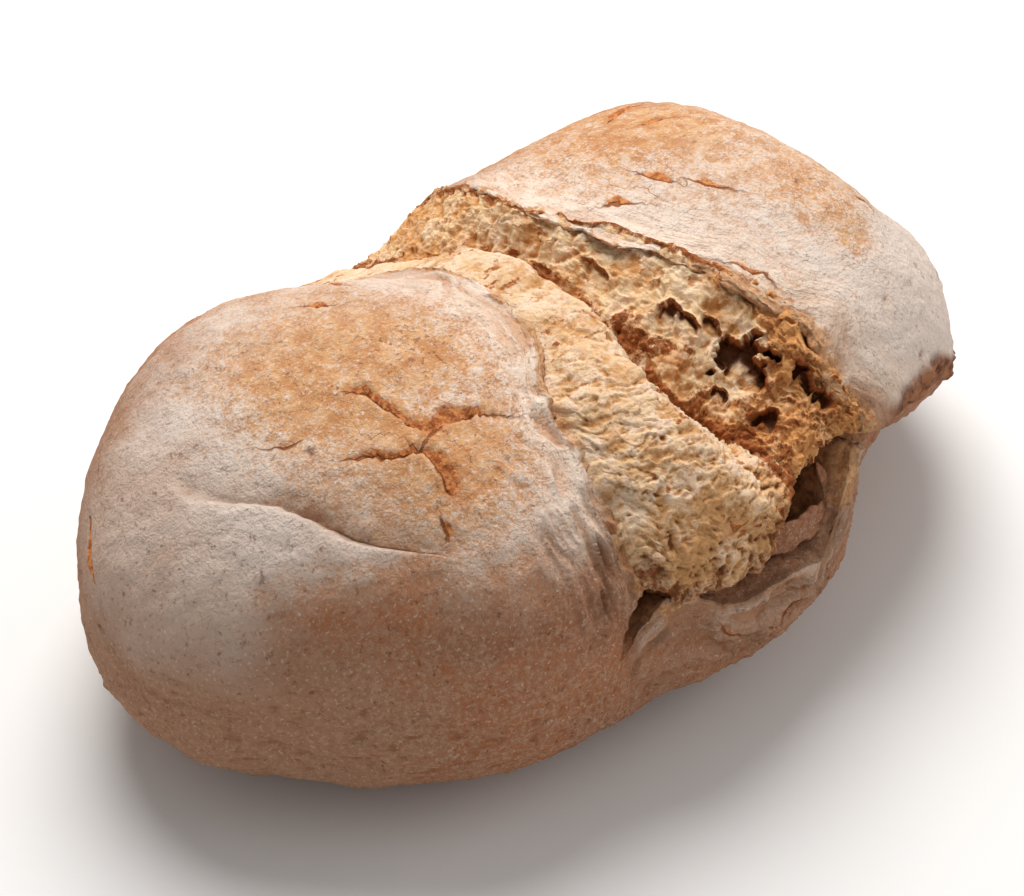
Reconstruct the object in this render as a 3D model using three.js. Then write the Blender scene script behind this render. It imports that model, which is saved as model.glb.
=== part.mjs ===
// A hearth loaf of rye bread, in millimetres, resting on the z = 0 plane.
// +X runs along the loaf from the near lobe to the far lobe, +Z is up, and -Y is the side where
// the crust burst open in the oven. One closed surface: rings of points round the X axis, whose
// rings follow the edges of the tear and whose lines follow the gap under the burst.
import * as THREE from "three";

// ---------------------------------------------------------------- driving dimensions
const LENGTH = 250;
const HALF = LENGTH / 2;
const EQUATOR = [[-1, 42], [0, 39], [1, 40]]; // height of the loaf's widest line
const END_ROUNDNESS = 2.3; // 2 is an ellipse, more is boxier
const TOP_ROUNDNESS = 2.3;
const BASE_ROUNDNESS = 2.8;
const BASE_LIFT = 0.55; // how late the underside curls up towards the ends
const FLAT_CUT = 1.2; // the underside is pressed flat up to this height

// The loaf's half widths and its top, by station: the share of the half length from the middle.
const FRONT_WIDTH = [
  [-0.92, 64], [-0.85, 66], [-0.55, 80], [-0.4, 80], [-0.2, 76], [0.1, 80], [0.25, 78], [0.55, 76],
  [0.75, 76], [0.92, 71],
];
const BACK_WIDTH = [
  [-0.92, 72], [-0.85, 74], [-0.5, 80], [-0.15, 71], [0.2, 72], [0.55, 81], [0.75, 88], [0.92, 74],
];
const TOP_HEIGHT = [
  [-0.92, 103], [-0.85, 102], [-0.5, 99], [-0.15, 92], [0.2, 94], [0.55, 101], [0.72, 101], [0.92, 82],
];

// Lines over the crust, as x at each angle round a ring.
// 0 degrees is the front (-Y), 90 the top, 180 the back and 270 the underside.
const CREASE_LINE = [
  [-60, -62], [0, -50], [30, -54], [43, -64], [52, -77], [59, -84], [76, -91], [86, -98],
  [98, -102], [120, -100], [160, -82], [300, -62],
];
const CRUST_EDGE = [
  [-60, -28], [20, -28], [40, -27], [58, -24], [70, -21], [80, -13], [92, -9], [104, -9],
  [116, -14], [128, -24], [150, -26], [175, -22], [300, -28],
];
const VALLEY = [
  [-60, 18], [25, 21], [40, 17], [50, 15], [62, 10], [75, 11], [90, 10], [104, 7],
  [118, 0], [135, -6], [175, -4], [300, 18],
];
const LIP = [
  [-60, 46], [25, 47], [38, 42], [50, 45], [60, 40], [72, 35], [80, 31], [88, 23],
  [98, 17], [118, 16], [136, 17], [155, 16], [175, 16], [300, 46],
];

// How far the tear is open, the depth of its valley, the rise of the burst crumb beside it and
// the flare of the far lip, all by angle.
const TEAR_OPEN = [[-10, 1], [120, 1], [140, 0.9], [160, 0.5], [178, 0], [320, 0], [345, 0.5]];
const VALLEY_DEPTH = [
  [10, 0], [24, 0.5], [34, 6], [46, 15], [60, 15], [80, 11], [95, 9], [115, 11], [140, 13], [170, 6],
];
const BURST_RISE = [[10, 3], [35, 5], [60, 4], [82, 1.5], [100, -1], [118, -4.5], [140, -5.5], [170, -2]];
const LIP_FLARE = [[10, 0], [60, 0.5], [90, 1.5], [115, 2.5], [140, 1.5], [170, 0]];

// The crease folded over the near lobe, faded out by angle at both its ends.
const CREASE_DEPTH = [[46, 0], [53, 2.6], [60, 3.8], [80, 3.6], [92, 2.8], [102, 0]];
const CREASE_REACH = 10; // how far the hollow above the crease spreads

// The gap under the burst: angle of its upper and lower edge and its depth, at each x.
// Past its far end the upper edge is the low rim of the far lobe.
const GAP_TOP = [
  [-75, 6], [-50, 4], [-38, 8], [-26, 19], [-18, 13.5], [-10, 11.6], [-2, 11], [6, 12.6], [12, 17.3],
  [18, 22.5], [24, 25.4], [32, 26], [40, 25.5], [48, 22], [56, 19], [66, 20], [77, 18.3], [86, 17.5],
  [95, 10], [105, 0], [118, -6],
];
const GAP_BASE = [
  [-75, -6], [-50, -4], [-38, 3], [-28, 11], [-17, 11], [-9, 7], [0, 3], [8, 4], [16, 3],
  [26, 1], [34, 8], [40, 14], [46, 16], [60, 2], [75, -12], [90, -24], [118, -24],
];
const GAP_DEPTH = [[-38, 0], [-34, 2], [-29, 7], [-12, 12], [0, 16], [36, 16], [48, 9], [62, 3], [80, 0]];

// Under the far lobe the base is drawn in: the share by which its half width is less.
const UNDERCUT = [
  [28, 0], [38, 0.02], [48, 0.08], [60, 0.2], [85, 0.3], [105, 0.26], [118, 0.1],
];

// Two cracks behind the crease, as (x, angle) points.
const CRACKS = [
  { path: [[-60, 88], [-55, 82], [-54, 74], [-46, 73], [-33, 69]], depth: 2.6 },
  { path: [[-72, 76], [-60, 72], [-60, 61]], depth: 2.2 },
];
const CRACK_REACH = 3.6;
const MM_PER_DEGREE = 1.25; // length over the crust of one degree round a ring

// How many rings each part of the loaf has, from pole to pole, and how many lines each part
// of a ring has, from the underside up the front and over the top.
const RINGS = { end: 12, near: 21, burst: 14, face: 9, far: 20 };
const LINES = { skirt: 9, gap: 6, front: 10, top: 24, base: 20 };
const SKIRT_FROM = -32;
const TOP_FROM = 60;
const TOP_TO = 145;

// ---------------------------------------------------------------- curves
const clamp = (v, low, high) => Math.min(Math.max(v, low), high);
const mix = (a, b, t) => a + (b - a) * t;
const power = (v, n) => Math.sign(v) * Math.abs(v) ** (2 / n);
const radians = (degrees) => (degrees * Math.PI) / 180;

// 0 below a, 1 above b, and a smooth step between them.
function step(a, b, v) {
  const t = clamp((v - a) / (b - a), 0, 1);
  return t * t * (3 - 2 * t);
}

// A smooth curve through points sorted by their first value, held level past its ends.
function through(points, v) {
  const last = points.length - 1;
  if (v <= points[0][0]) return points[0][1];
  if (v >= points[last][0]) return points[last][1];
  let i = 0;
  while (v > points[i + 1][0]) i++;
  const slope = (k) => {
    const a = points[Math.max(k - 1, 0)];
    const b = points[Math.min(k + 1, last)];
    return (b[1] - a[1]) / (b[0] - a[0]);
  };
  const [x0, y0] = points[i];
  const [x1, y1] = points[i + 1];
  const w = x1 - x0;
  const t = (v - x0) / w;
  const t2 = t * t;
  const t3 = t2 * t;
  return (2 * t3 - 3 * t2 + 1) * y0 + (t3 - 2 * t2 + t) * w * slope(i)
    + (3 * t2 - 2 * t3) * y1 + (t3 - t2) * w * slope(i + 1);
}

// ---------------------------------------------------------------- the loaf before it tore
// Angles run from the underside's front (-90) over the top (90) to the underside again (270).
function envelope(x, angle) {
  const share = clamp(x / HALF, -1, 1);
  const end = Math.max(1 - Math.abs(share) ** END_ROUNDNESS, 0) ** (1 / END_ROUNDNESS);
  const c = Math.cos(radians(angle));
  const s = Math.sin(radians(angle));
  const roundness = s > 0 ? TOP_ROUNDNESS : BASE_ROUNDNESS;
  const width = through(c > 0 ? FRONT_WIDTH : BACK_WIDTH, share) * end;
  const equator = through(EQUATOR, share);
  const rise = s > 0 ? (through(TOP_HEIGHT, share) - equator) * end : equator * end ** BASE_LIFT;
  const drawn = c > 0 ? 1 - step(through(GAP_BASE, x), through(GAP_TOP, x), angle) : 0;
  const narrowed = 1 - through(UNDERCUT, x) * drawn * step(-95, -60, angle);
  return new THREE.Vector3(x, -width * narrowed * power(c, roundness), equator + rise * power(s, roundness));
}

// The way out of the loaf at a point of the envelope.
function outward(x, angle) {
  const along = envelope(x + 1.5, angle).sub(envelope(x - 1.5, angle));
  const round = envelope(x, angle + 2).sub(envelope(x, angle - 2));
  return along.cross(round).normalize();
}

// ---------------------------------------------------------------- relief, in mm outwards
// Large soft unevenness of a loaf shaped by hand.
function unevenness(p) {
  return 0.6 * Math.sin(p.x / 17 + 1.4 * Math.sin(p.y / 29)) * Math.cos(p.y / 21 + p.z / 33)
    + 0.4 * Math.sin(p.x / 9 + p.z / 11) * Math.sin(p.y / 10 + 1.7);
}

// Crags of the torn crumb.
function crags(p) {
  return 0.9 * Math.sin(p.x / 2.3 + 1.6 * Math.sin(p.z / 4.1)) * Math.sin(p.y / 2.7 + p.z / 3.3)
    + 0.7 * Math.sin(p.x / 4.3 - p.z / 2.6) * Math.cos(p.y / 4.1);
}

// Distance from (x, angle) to a path of (x, angle) points, in millimetres over the crust.
function besidePath(path, x, angle) {
  let best = Infinity;
  for (let i = 0; i < path.length - 1; i++) {
    const dx = path[i + 1][0] - path[i][0];
    const dy = (path[i + 1][1] - path[i][1]) * MM_PER_DEGREE;
    const px = x - path[i][0];
    const py = (angle - path[i][1]) * MM_PER_DEGREE;
    const t = clamp((px * dx + py * dy) / (dx * dx + dy * dy), 0, 1);
    best = Math.min(best, Math.hypot(px - t * dx, py - t * dy));
  }
  return best;
}

// The crust from the near pole to the crease: whole, it sinks only beside the fold.
function endRelief(x, angle) {
  return -0.5 * through(CREASE_DEPTH, angle) * Math.exp((x - through(CREASE_LINE, angle)) / 2);
}

// The crust between the crease and the tear.
function nearRelief(x, angle) {
  const past = x - through(CREASE_LINE, angle);
  const hollow = through(CREASE_DEPTH, angle) * Math.min(0.5 + past / 3, 1) * Math.exp(-past / CREASE_REACH);
  let sunk = hollow;
  for (const { path, depth } of CRACKS) {
    sunk += depth * Math.exp(-((besidePath(path, x, angle) / CRACK_REACH) ** 2));
  }
  // The back of the lobe rounds down into the notch behind the tear.
  const rounding = Math.min(through(BURST_RISE, angle), 0) * through(TEAR_OPEN, angle);
  return rounding * step(-26, 0, x - through(CRUST_EDGE, angle)) - sunk;
}

// The burst crumb: a mound that falls away into the valley.
function burstRelief(t, angle) {
  const open = through(TEAR_OPEN, angle);
  const rise = through(BURST_RISE, angle);
  const mound = rise > 0 ? rise * Math.sin(Math.PI * t ** 0.8) : rise;
  return open * mix(mound, -through(VALLEY_DEPTH, angle), step(0.6, 1, t) ** 1.4);
}

// The torn face that climbs from the valley to the lip of the far lobe.
function faceRelief(t, angle) {
  const open = through(TEAR_OPEN, angle);
  const top = open * through(LIP_FLARE, angle);
  const climb = mix(-through(VALLEY_DEPTH, angle) * open, -2 * open, t ** 0.85);
  return mix(climb, top, step(0.82, 1, t));
}

// The crust of the far lobe, flared at its lip.
function farRelief(x, angle) {
  const past = x - through(LIP, angle);
  return through(TEAR_OPEN, angle) * through(LIP_FLARE, angle) * Math.exp(-past / 22);
}

// Below the gap the crust skirt is whole; in it the surface is sunk to the gap's floor.
function gapRelief(x, angle) {
  const low = through(GAP_BASE, x);
  const t = clamp((angle - low) / (through(GAP_TOP, x) - low), 0, 1);
  const wall = Math.min(step(0, 0.3, t), 1 - step(0.75, 1, t));
  return { sunk: -through(GAP_DEPTH, x) * wall, above: step(0.75, 1, t) };
}

// ---------------------------------------------------------------- the grid
// Ring spacing from a pole to an edge of the crust: close at both ends.
const fromPole = (t) => (1 - t * t) * t ** 2.3 + t * t * (1 - (1 - t) ** 1.3);

// The parts of the loaf along a line from pole to pole, with their rings' spacing.
const SECTIONS = [
  { rings: RINGS.end, spread: fromPole, relief: (x, t, angle) => endRelief(x, angle) },
  { rings: RINGS.near, spread: (t) => t ** 1.3, relief: (x, t, angle) => nearRelief(x, angle) },
  { rings: RINGS.burst, spread: (t) => t, relief: (x, t, angle) => burstRelief(t, angle), torn: true },
  { rings: RINGS.face, spread: (t) => t, relief: (x, t, angle) => faceRelief(t, angle), torn: true },
  { rings: RINGS.far, spread: (t) => 1 - fromPole(1 - t), relief: (x, t, angle) => farRelief(x, angle) },
];

// Where section number n starts, as x at an angle.
function sectionStart(n, angle) {
  if (n === 0) return -HALF;
  if (n > 4) return HALF;
  return through([CREASE_LINE, CRUST_EDGE, VALLEY, LIP][n - 1], angle);
}

// The section and the share of it that ring number i lies at.
function ringPlace(i) {
  let n = 0;
  let left = i;
  while (left > SECTIONS[n].rings) {
    left -= SECTIONS[n].rings;
    n++;
  }
  return { n, t: SECTIONS[n].spread(left / SECTIONS[n].rings) };
}

// The angle of line number k where it crosses x: lines follow both edges of the gap.
function lineAngle(k, x) {
  const spans = [
    [LINES.skirt, SKIRT_FROM, through(GAP_BASE, x)],
    [LINES.gap, through(GAP_BASE, x), through(GAP_TOP, x)],
    [LINES.front, through(GAP_TOP, x), TOP_FROM],
    [LINES.top, TOP_FROM, TOP_TO],
    [LINES.base, TOP_TO, SKIRT_FROM + 360],
  ];
  let left = k;
  for (const [count, from, to] of spans) {
    if (left < count) return mix(from, to, left / count);
    left -= count;
  }
  return SKIRT_FROM;
}

// The point where ring number i meets line number k.
function latticePoint(i, k) {
  const { n, t } = ringPlace(i);
  const nominal = lineAngle(k, 0);
  const x = mix(sectionStart(n, nominal), sectionStart(n + 1, nominal), t);
  const angle = lineAngle(k, x);
  const front = angle > 180 ? angle - 360 : angle; // the same angle, below 0 under the front
  const p = envelope(x, angle > 270 ? angle - 360 : angle);
  const { sunk, above } = gapRelief(x, front);
  const open = SECTIONS[n].torn ? through(TEAR_OPEN, angle) * above : 0;
  const out = SECTIONS[n].relief(x, t, angle) * above + sunk + mix(unevenness(p), crags(p), open);
  p.addScaledVector(outward(x, angle > 270 ? angle - 360 : angle), out);
  p.z = Math.max(p.z - FLAT_CUT, 0);
  return p;
}

function loafGeometry() {
  const rings = Object.values(RINGS).reduce((a, b) => a + b);
  const lines = Object.values(LINES).reduce((a, b) => a + b);
  const pole = (x) => [x, 0, envelope(x, 0).z - FLAT_CUT];
  const vertices = pole(-HALF);
  for (let i = 1; i < rings; i++) {
    for (let k = 0; k < lines; k++) vertices.push(...latticePoint(i, k).toArray());
  }
  vertices.push(...pole(HALF));
  const farPole = vertices.length / 3 - 1;
  const at = (ring, k) => 1 + (ring - 1) * lines + (k % lines);
  const faces = [];
  for (let k = 0; k < lines; k++) {
    faces.push(0, at(1, k), at(1, k + 1));
    for (let i = 1; i < rings - 1; i++) {
      faces.push(at(i, k), at(i + 1, k), at(i + 1, k + 1));
      faces.push(at(i, k), at(i + 1, k + 1), at(i, k + 1));
    }
    faces.push(farPole, at(rings - 1, k + 1), at(rings - 1, k));
  }
  const geometry = new THREE.BufferGeometry();
  geometry.setAttribute("position", new THREE.Float32BufferAttribute(vertices, 3));
  geometry.setIndex(faces);
  // The origin is the centre of the box's bottom.
  geometry.computeBoundingBox();
  const { min, max } = geometry.boundingBox;
  geometry.translate(-(min.x + max.x) / 2, -(min.y + max.y) / 2, -min.z);
  geometry.computeVertexNormals();
  return geometry;
}

const crust = new THREE.MeshStandardMaterial({ color: 0xc79a70, roughness: 0.85, metalness: 0 });
const loaf = new THREE.Mesh(loafGeometry(), crust);
loaf.name = "loaf";

const group = new THREE.Group();
group.add(loaf);
export default group;
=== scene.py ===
# %% [markdown]
# # A rye loaf that burst in the oven
# The loaf is one piece of bread with two looks: a dry, floured crust, and the torn crumb where the
# crust gave way. It could be sculpted by hand, or scanned. Here every surface is worked out as a
# function of two parameters, so that each fold, crack and pore has a size that can be read and
# changed. We start from the CAD frame, which gives the place and the size that must be kept.

# %% Load the CAD frame
import bpy
import numpy as np
from mathutils import Matrix, Vector


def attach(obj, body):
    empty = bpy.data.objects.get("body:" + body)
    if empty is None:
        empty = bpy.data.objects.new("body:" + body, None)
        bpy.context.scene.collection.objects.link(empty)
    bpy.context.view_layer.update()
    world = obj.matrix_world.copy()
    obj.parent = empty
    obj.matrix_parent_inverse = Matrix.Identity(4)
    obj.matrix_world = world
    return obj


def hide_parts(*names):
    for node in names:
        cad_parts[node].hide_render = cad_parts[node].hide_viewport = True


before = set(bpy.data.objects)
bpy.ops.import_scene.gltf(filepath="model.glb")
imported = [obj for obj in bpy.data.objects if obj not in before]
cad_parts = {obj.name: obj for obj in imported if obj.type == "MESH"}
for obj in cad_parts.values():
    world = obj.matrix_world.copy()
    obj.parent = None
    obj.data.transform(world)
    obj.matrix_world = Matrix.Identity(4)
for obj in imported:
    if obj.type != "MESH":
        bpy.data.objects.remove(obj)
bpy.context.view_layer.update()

print("CAD nodes:", sorted(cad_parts))

# %% [markdown]
# ## The loaf's driving sizes
# All sizes are in millimetres, as on the CAD part, and each curve is a short list of points that a
# smooth line runs through. A place on the loaf is given by x, the way along it, and by an angle round
# it: 0 is the front, where the tear gapes, 90 the top and 180 the back. Curves over x or angle are
# easier to read and adjust than a sculpted mesh, and the torn edges can follow them exactly.

# %% Sizes of the whole loaf; the curves run over the share of the half length, from -1 to 1
MM = 0.001
HALF = 125
EQUATOR = [(-1, 42), (0, 39), (1, 40)]
END_ROUNDNESS = 2.3
TOP_ROUNDNESS = 2.3
BASE_ROUNDNESS = 2.8
BASE_LIFT = 0.55
FLAT_CUT = 1.2
ACROSS = 2.94  # the CAD part's box is centred on the origin, which moves the loaf this far in y
FRONT_WIDTH = [(-0.92, 64), (-0.85, 66), (-0.55, 80), (-0.4, 80), (-0.2, 76), (0.1, 80), (0.25, 78),
               (0.55, 76), (0.75, 76), (0.92, 71)]
BACK_WIDTH = [(-0.92, 72), (-0.85, 74), (-0.5, 80), (-0.15, 71), (0.2, 72), (0.55, 81), (0.75, 88),
              (0.92, 74)]
TOP_HEIGHT = [(-0.92, 103), (-0.85, 102), (-0.5, 99), (-0.15, 92), (0.2, 94), (0.55, 101),
              (0.72, 101), (0.92, 82)]
print("length of the loaf:", 2 * HALF, "mm")

# %% Lines over the crust, as x at each angle
CREASE_LINE = [(-60, -62), (0, -50), (30, -54), (43, -64), (52, -77), (59, -84), (76, -91), (86, -98),
               (98, -102), (120, -100), (160, -82), (300, -62)]
CRUST_EDGE = [(-60, -28), (20, -28), (40, -27), (58, -24), (70, -21), (80, -13), (92, -9), (104, -9),
              (116, -14), (128, -24), (150, -26), (175, -22), (300, -28)]
VALLEY = [(-60, 18), (25, 21), (40, 17), (50, 15), (62, 10), (75, 11), (90, 10), (104, 7),
          (118, 0), (135, -6), (175, -4), (300, 18)]
LIP = [(-60, 46), (25, 47), (38, 42), (50, 45), (60, 40), (72, 35), (80, 31), (88, 23),
       (98, 17), (118, 16), (136, 17), (155, 16), (175, 16), (300, 46)]
print("points in each line:", [len(line) for line in (CREASE_LINE, CRUST_EDGE, VALLEY, LIP)])

# %% How deep and high the tear runs, by angle, and the gap under it, by x
TEAR_OPEN = [(-10, 1), (120, 1), (140, 0.9), (160, 0.5), (178, 0), (320, 0), (345, 0.5)]
VALLEY_DEPTH = [(10, 0), (24, 0.5), (34, 6), (46, 15), (60, 15), (80, 11), (95, 9), (115, 11), (140, 13),
                (170, 6)]
BURST_RISE = [(10, 3), (35, 5), (60, 4), (82, 1.5), (100, -1), (118, -4.5), (140, -5.5), (170, -2)]
LIP_FLARE = [(10, 0), (60, 0.5), (90, 1.5), (115, 2.5), (140, 1.5), (170, 0)]
FLARE_REACH = 22
CREASE_DEPTH = [(46, 0), (53, 2.6), (60, 4.2), (80, 3.8), (92, 2.8), (102, 0)]
CREASE_REACH = 7
SWELL_REACH, DROP_REACH = 6, 0.9  # on the flap before the crease
GAP_TOP = [(-75, 6), (-50, 4), (-38, 8), (-26, 19), (-18, 13.5), (-10, 11.6), (-2, 11), (6, 12.6),
           (12, 17.3), (18, 22.5), (24, 25.4), (32, 26), (40, 25.5), (48, 22), (56, 19), (66, 20),
           (77, 18.3), (86, 17.5), (95, 10), (105, 0), (118, -6)]
GAP_BASE = [(-75, -6), (-50, -4), (-38, 3), (-28, 11), (-17, 11), (-9, 7), (0, 3), (8, 4), (16, 3),
            (26, 1), (34, 8), (40, 14), (46, 16), (60, 2), (75, -12), (90, -24), (118, -24)]
GAP_DEPTH = [(-38, 0), (-34, 2), (-29, 7), (-12, 12), (0, 16), (36, 16), (48, 9), (62, 3), (80, 0)]
UNDERCUT = [(28, 0), (38, 0.02), (48, 0.08), (60, 0.2), (85, 0.3), (105, 0.26), (118, 0.1)]
MM_PER_DEGREE = 1.25  # length over the crust of one degree round the loaf
print("deepest part of the gap:", max(depth for _, depth in GAP_DEPTH), "mm")

# %% [markdown]
# ## From curves to places
# A few helpers turn the curves into points. They take whole arrays, so that a hundred thousand points
# cost one call each.

# %% Curves
def through(points, at):
    """A smooth line through sorted points, level past both ends. Between two points it is a cubic,
    whose slope at a point is that of the straight line between the point's two neighbours."""
    xs, ys = np.array(points, float).T
    last = len(xs) - 1
    before = np.maximum(np.arange(last + 1) - 1, 0)
    after = np.minimum(np.arange(last + 1) + 1, last)
    slope = (ys[after] - ys[before]) / (xs[after] - xs[before])
    at = np.clip(at, xs[0], xs[-1])
    i = np.clip(np.searchsorted(xs, at, side="right") - 1, 0, last - 1)
    width = xs[i + 1] - xs[i]
    t = (at - xs[i]) / width
    return ((2 * t**3 - 3 * t**2 + 1) * ys[i] + (t**3 - 2 * t**2 + t) * width * slope[i]
            + (3 * t**2 - 2 * t**3) * ys[i + 1] + (t**3 - t**2) * width * slope[i + 1])


def step(low, high, at):
    """0 below low, 1 above high, and t squared times (3 - 2t) between them. With low above high it
    falls instead of rising."""
    t = np.clip((at - low) / (high - low), 0, 1)
    return t * t * (3 - 2 * t)


def mix(a, b, t):
    """The straight line from a, at t = 0, to b, at t = 1."""
    return a + (b - a) * t


def bell(away, reach):
    """1 at 0, falling off on both sides: e to the power of minus the square of away over reach."""
    return np.exp(-((away / reach) ** 2))


def beyond(past, reach):
    """0 before a line, 1 on it, and past it e to the power of minus the distance over the reach."""
    return np.where(past >= 0, np.exp(-np.maximum(past, 0) / reach), 0)


def unit(vectors):
    """Each vector divided by its own length."""
    return vectors / np.maximum(np.linalg.norm(vectors, axis=-1, keepdims=True), 1e-9)


def spots_at(x, y, z=0):
    """Three coordinates, each an array or one number, as one array of points."""
    return np.stack(np.broadcast_arrays(x, y, z), axis=-1)


# %% Places on the loaf
def envelope(x, angle):
    """The loaf before it tore. A ring at x is an oval: the half width times the cosine, and the
    height times the sine, each to a power that makes the oval boxier. Rings shrink to a point at
    both ends, and under the far lobe the front is drawn in."""
    share = np.clip(x / HALF, -1, 1)
    end = np.maximum(1 - np.abs(share) ** END_ROUNDNESS, 0) ** (1 / END_ROUNDNESS)
    cosine, sine = np.cos(np.radians(angle)), np.sin(np.radians(angle))
    roundness = np.where(sine > 0, TOP_ROUNDNESS, BASE_ROUNDNESS)
    width = np.where(cosine > 0, through(FRONT_WIDTH, share), through(BACK_WIDTH, share)) * end
    equator = through(EQUATOR, share)
    rise = np.where(sine > 0, (through(TOP_HEIGHT, share) - equator) * end, equator * end**BASE_LIFT)
    below_gap = np.where(cosine > 0, 1 - step(through(GAP_BASE, x), through(GAP_TOP, x), angle), 0)
    width = width * (1 - through(UNDERCUT, x) * below_gap * step(-95, -60, angle))
    y = -width * np.sign(cosine) * np.abs(cosine) ** (2 / roundness)
    z = equator + rise * np.sign(sine) * np.abs(sine) ** (2 / roundness)
    return spots_at(x, y, z)


def settle(spot):
    """No point lies below the surface that the loaf rests on: a lower z becomes 0."""
    spot[..., 2] = np.maximum(spot[..., 2], 0)
    return spot


def place(x, angle, out):
    """The envelope's point at x and angle, moved along the envelope's own normal by out, and then
    set into the CAD part's frame, with the underside pressed flat."""
    x, angle, out = np.broadcast_arrays(x, np.where(angle > 270, angle - 360, angle), out)
    along = envelope(x + 1.5, angle) - envelope(x - 1.5, angle)
    around = envelope(x, angle + 2) - envelope(x, angle - 2)
    spot = envelope(x, angle) + unit(np.cross(along, around)) * out[..., None]
    return settle(spot + [0, ACROSS, -FLAT_CUT])


print("top of the loaf at its middle:", place(0.0, 90.0, 0.0).round(1))

# %% [markdown]
# ## Roughness without repeats
# Bread has no two spots alike. Blender's noise textures could move the vertices, but shader
# displacement is lost on export, so the same kinds of noise are worked out here: a smooth noise for
# lumps, its sharp crests for wrinkles and strands, and a cell noise for the bubbles of the crumb.

# %% Noise
def hashed(cell, seed):
    """A repeatable random number from 0 to 1 for each whole-number cell: its three coordinates times
    large odd numbers, mixed by shifts and exclusive or."""
    n = cell[..., 0] * 73856093 ^ cell[..., 1] * 19349663 ^ cell[..., 2] * 83492791 ^ seed * 26544357
    n = ((n & 0xFFFFFFFF) ^ ((n & 0xFFFFFFFF) >> 13)) * 1274126177 & 0xFFFFFFFF
    n = (n ^ (n >> 16)) * 2246822519 & 0xFFFFFFFF
    return ((n ^ (n >> 15)) & 0xFFFFFF) / 0xFFFFFF


def noise(spot, seed):
    """Smooth noise from -1 to 1: the eight corners of the cell round a point have random values,
    blended by a smooth step along each axis."""
    cell = np.floor(spot).astype(np.int64)
    f = spot - cell
    f = f**3 * (f * (f * 6 - 15) + 10)
    total = 0
    for corner in np.ndindex(2, 2, 2):
        weight = np.prod(np.where(np.array(corner) == 1, f, 1 - f), axis=-1)
        total = total + weight * hashed(cell + corner, seed)
    return 2 * total - 1


def layers(spot, count, seed):
    """Layered noise: each layer is half as high and twice as fine as the one before."""
    return sum(noise(spot * 2**i + 7 * i, seed + i) / 2**i for i in range(count))


def crests(spot, count, seed):
    """Layered noise with sharp crests: each layer is one minus twice the size of a noise."""
    return sum((1 - 2 * np.abs(noise(spot * 2**i + 5 * i, seed + i))) / 1.7**i for i in range(count))


def cells(spot, seed):
    """For bubbles: each unit cell has one random centre. Gives the distance to the nearest centre,
    to the second nearest, and a random number of the nearest."""
    base = np.floor(spot).astype(np.int64)
    near = np.full(spot.shape[:-1], 9.0)
    second, kind = near.copy(), near.copy()
    for offset in np.ndindex(3, 3, 3):
        cell = base + np.array(offset) - 1
        centre = cell + np.stack([hashed(cell, seed + i) for i in (1, 2, 3)], axis=-1)
        gap = np.linalg.norm(spot - centre, axis=-1)
        kind = np.where(gap < near, hashed(cell, seed + 4), kind)
        second = np.where(gap < near, near, np.minimum(second, gap))
        near = np.minimum(near, gap)
    return near, second, kind


# %% [markdown]
# ## Closed skins
# Every piece is a bag: rows of points, each row a closed loop, with the first and the last row drawn
# together in one point. Such a skin has no open edge, so it exports as a solid, and its normals can be
# read straight off the grid to push detail outwards.

# %% Grid normals and meshes
def grid_normals(spots):
    """The outward direction at each grid point: the cross product of the step from row to row and
    the step round the row."""
    down = np.gradient(spots, axis=0)
    round_row = np.roll(spots, -1, axis=1) - np.roll(spots, 1, axis=1)
    return unit(np.cross(down, round_row))


def smoothed(values, reach):
    """The mean over the neighbours on the grid, up to reach steps away each way."""
    for axis in (0, 1):
        width = [(reach + 1, reach) if a == axis else (0, 0) for a in (0, 1)]
        total = np.cumsum(np.pad(values, width, mode="edge"), axis=axis)
        size = values.shape[axis]
        upper = np.take(total, np.arange(size) + 2 * reach + 1, axis=axis)
        values = (upper - np.take(total, np.arange(size), axis=axis)) / (2 * reach + 1)
    return values


def volume_ml(vertices, triangles):
    """The volume inside closed triangles: a sixth of the sum of each first corner's dot product with
    the cross product of the other two. It is positive where the faces point outwards."""
    first, second, third = (vertices[triangles[:, i]] for i in range(3))
    return (first * np.cross(second, third)).sum() / 6 * 1e6


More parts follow.
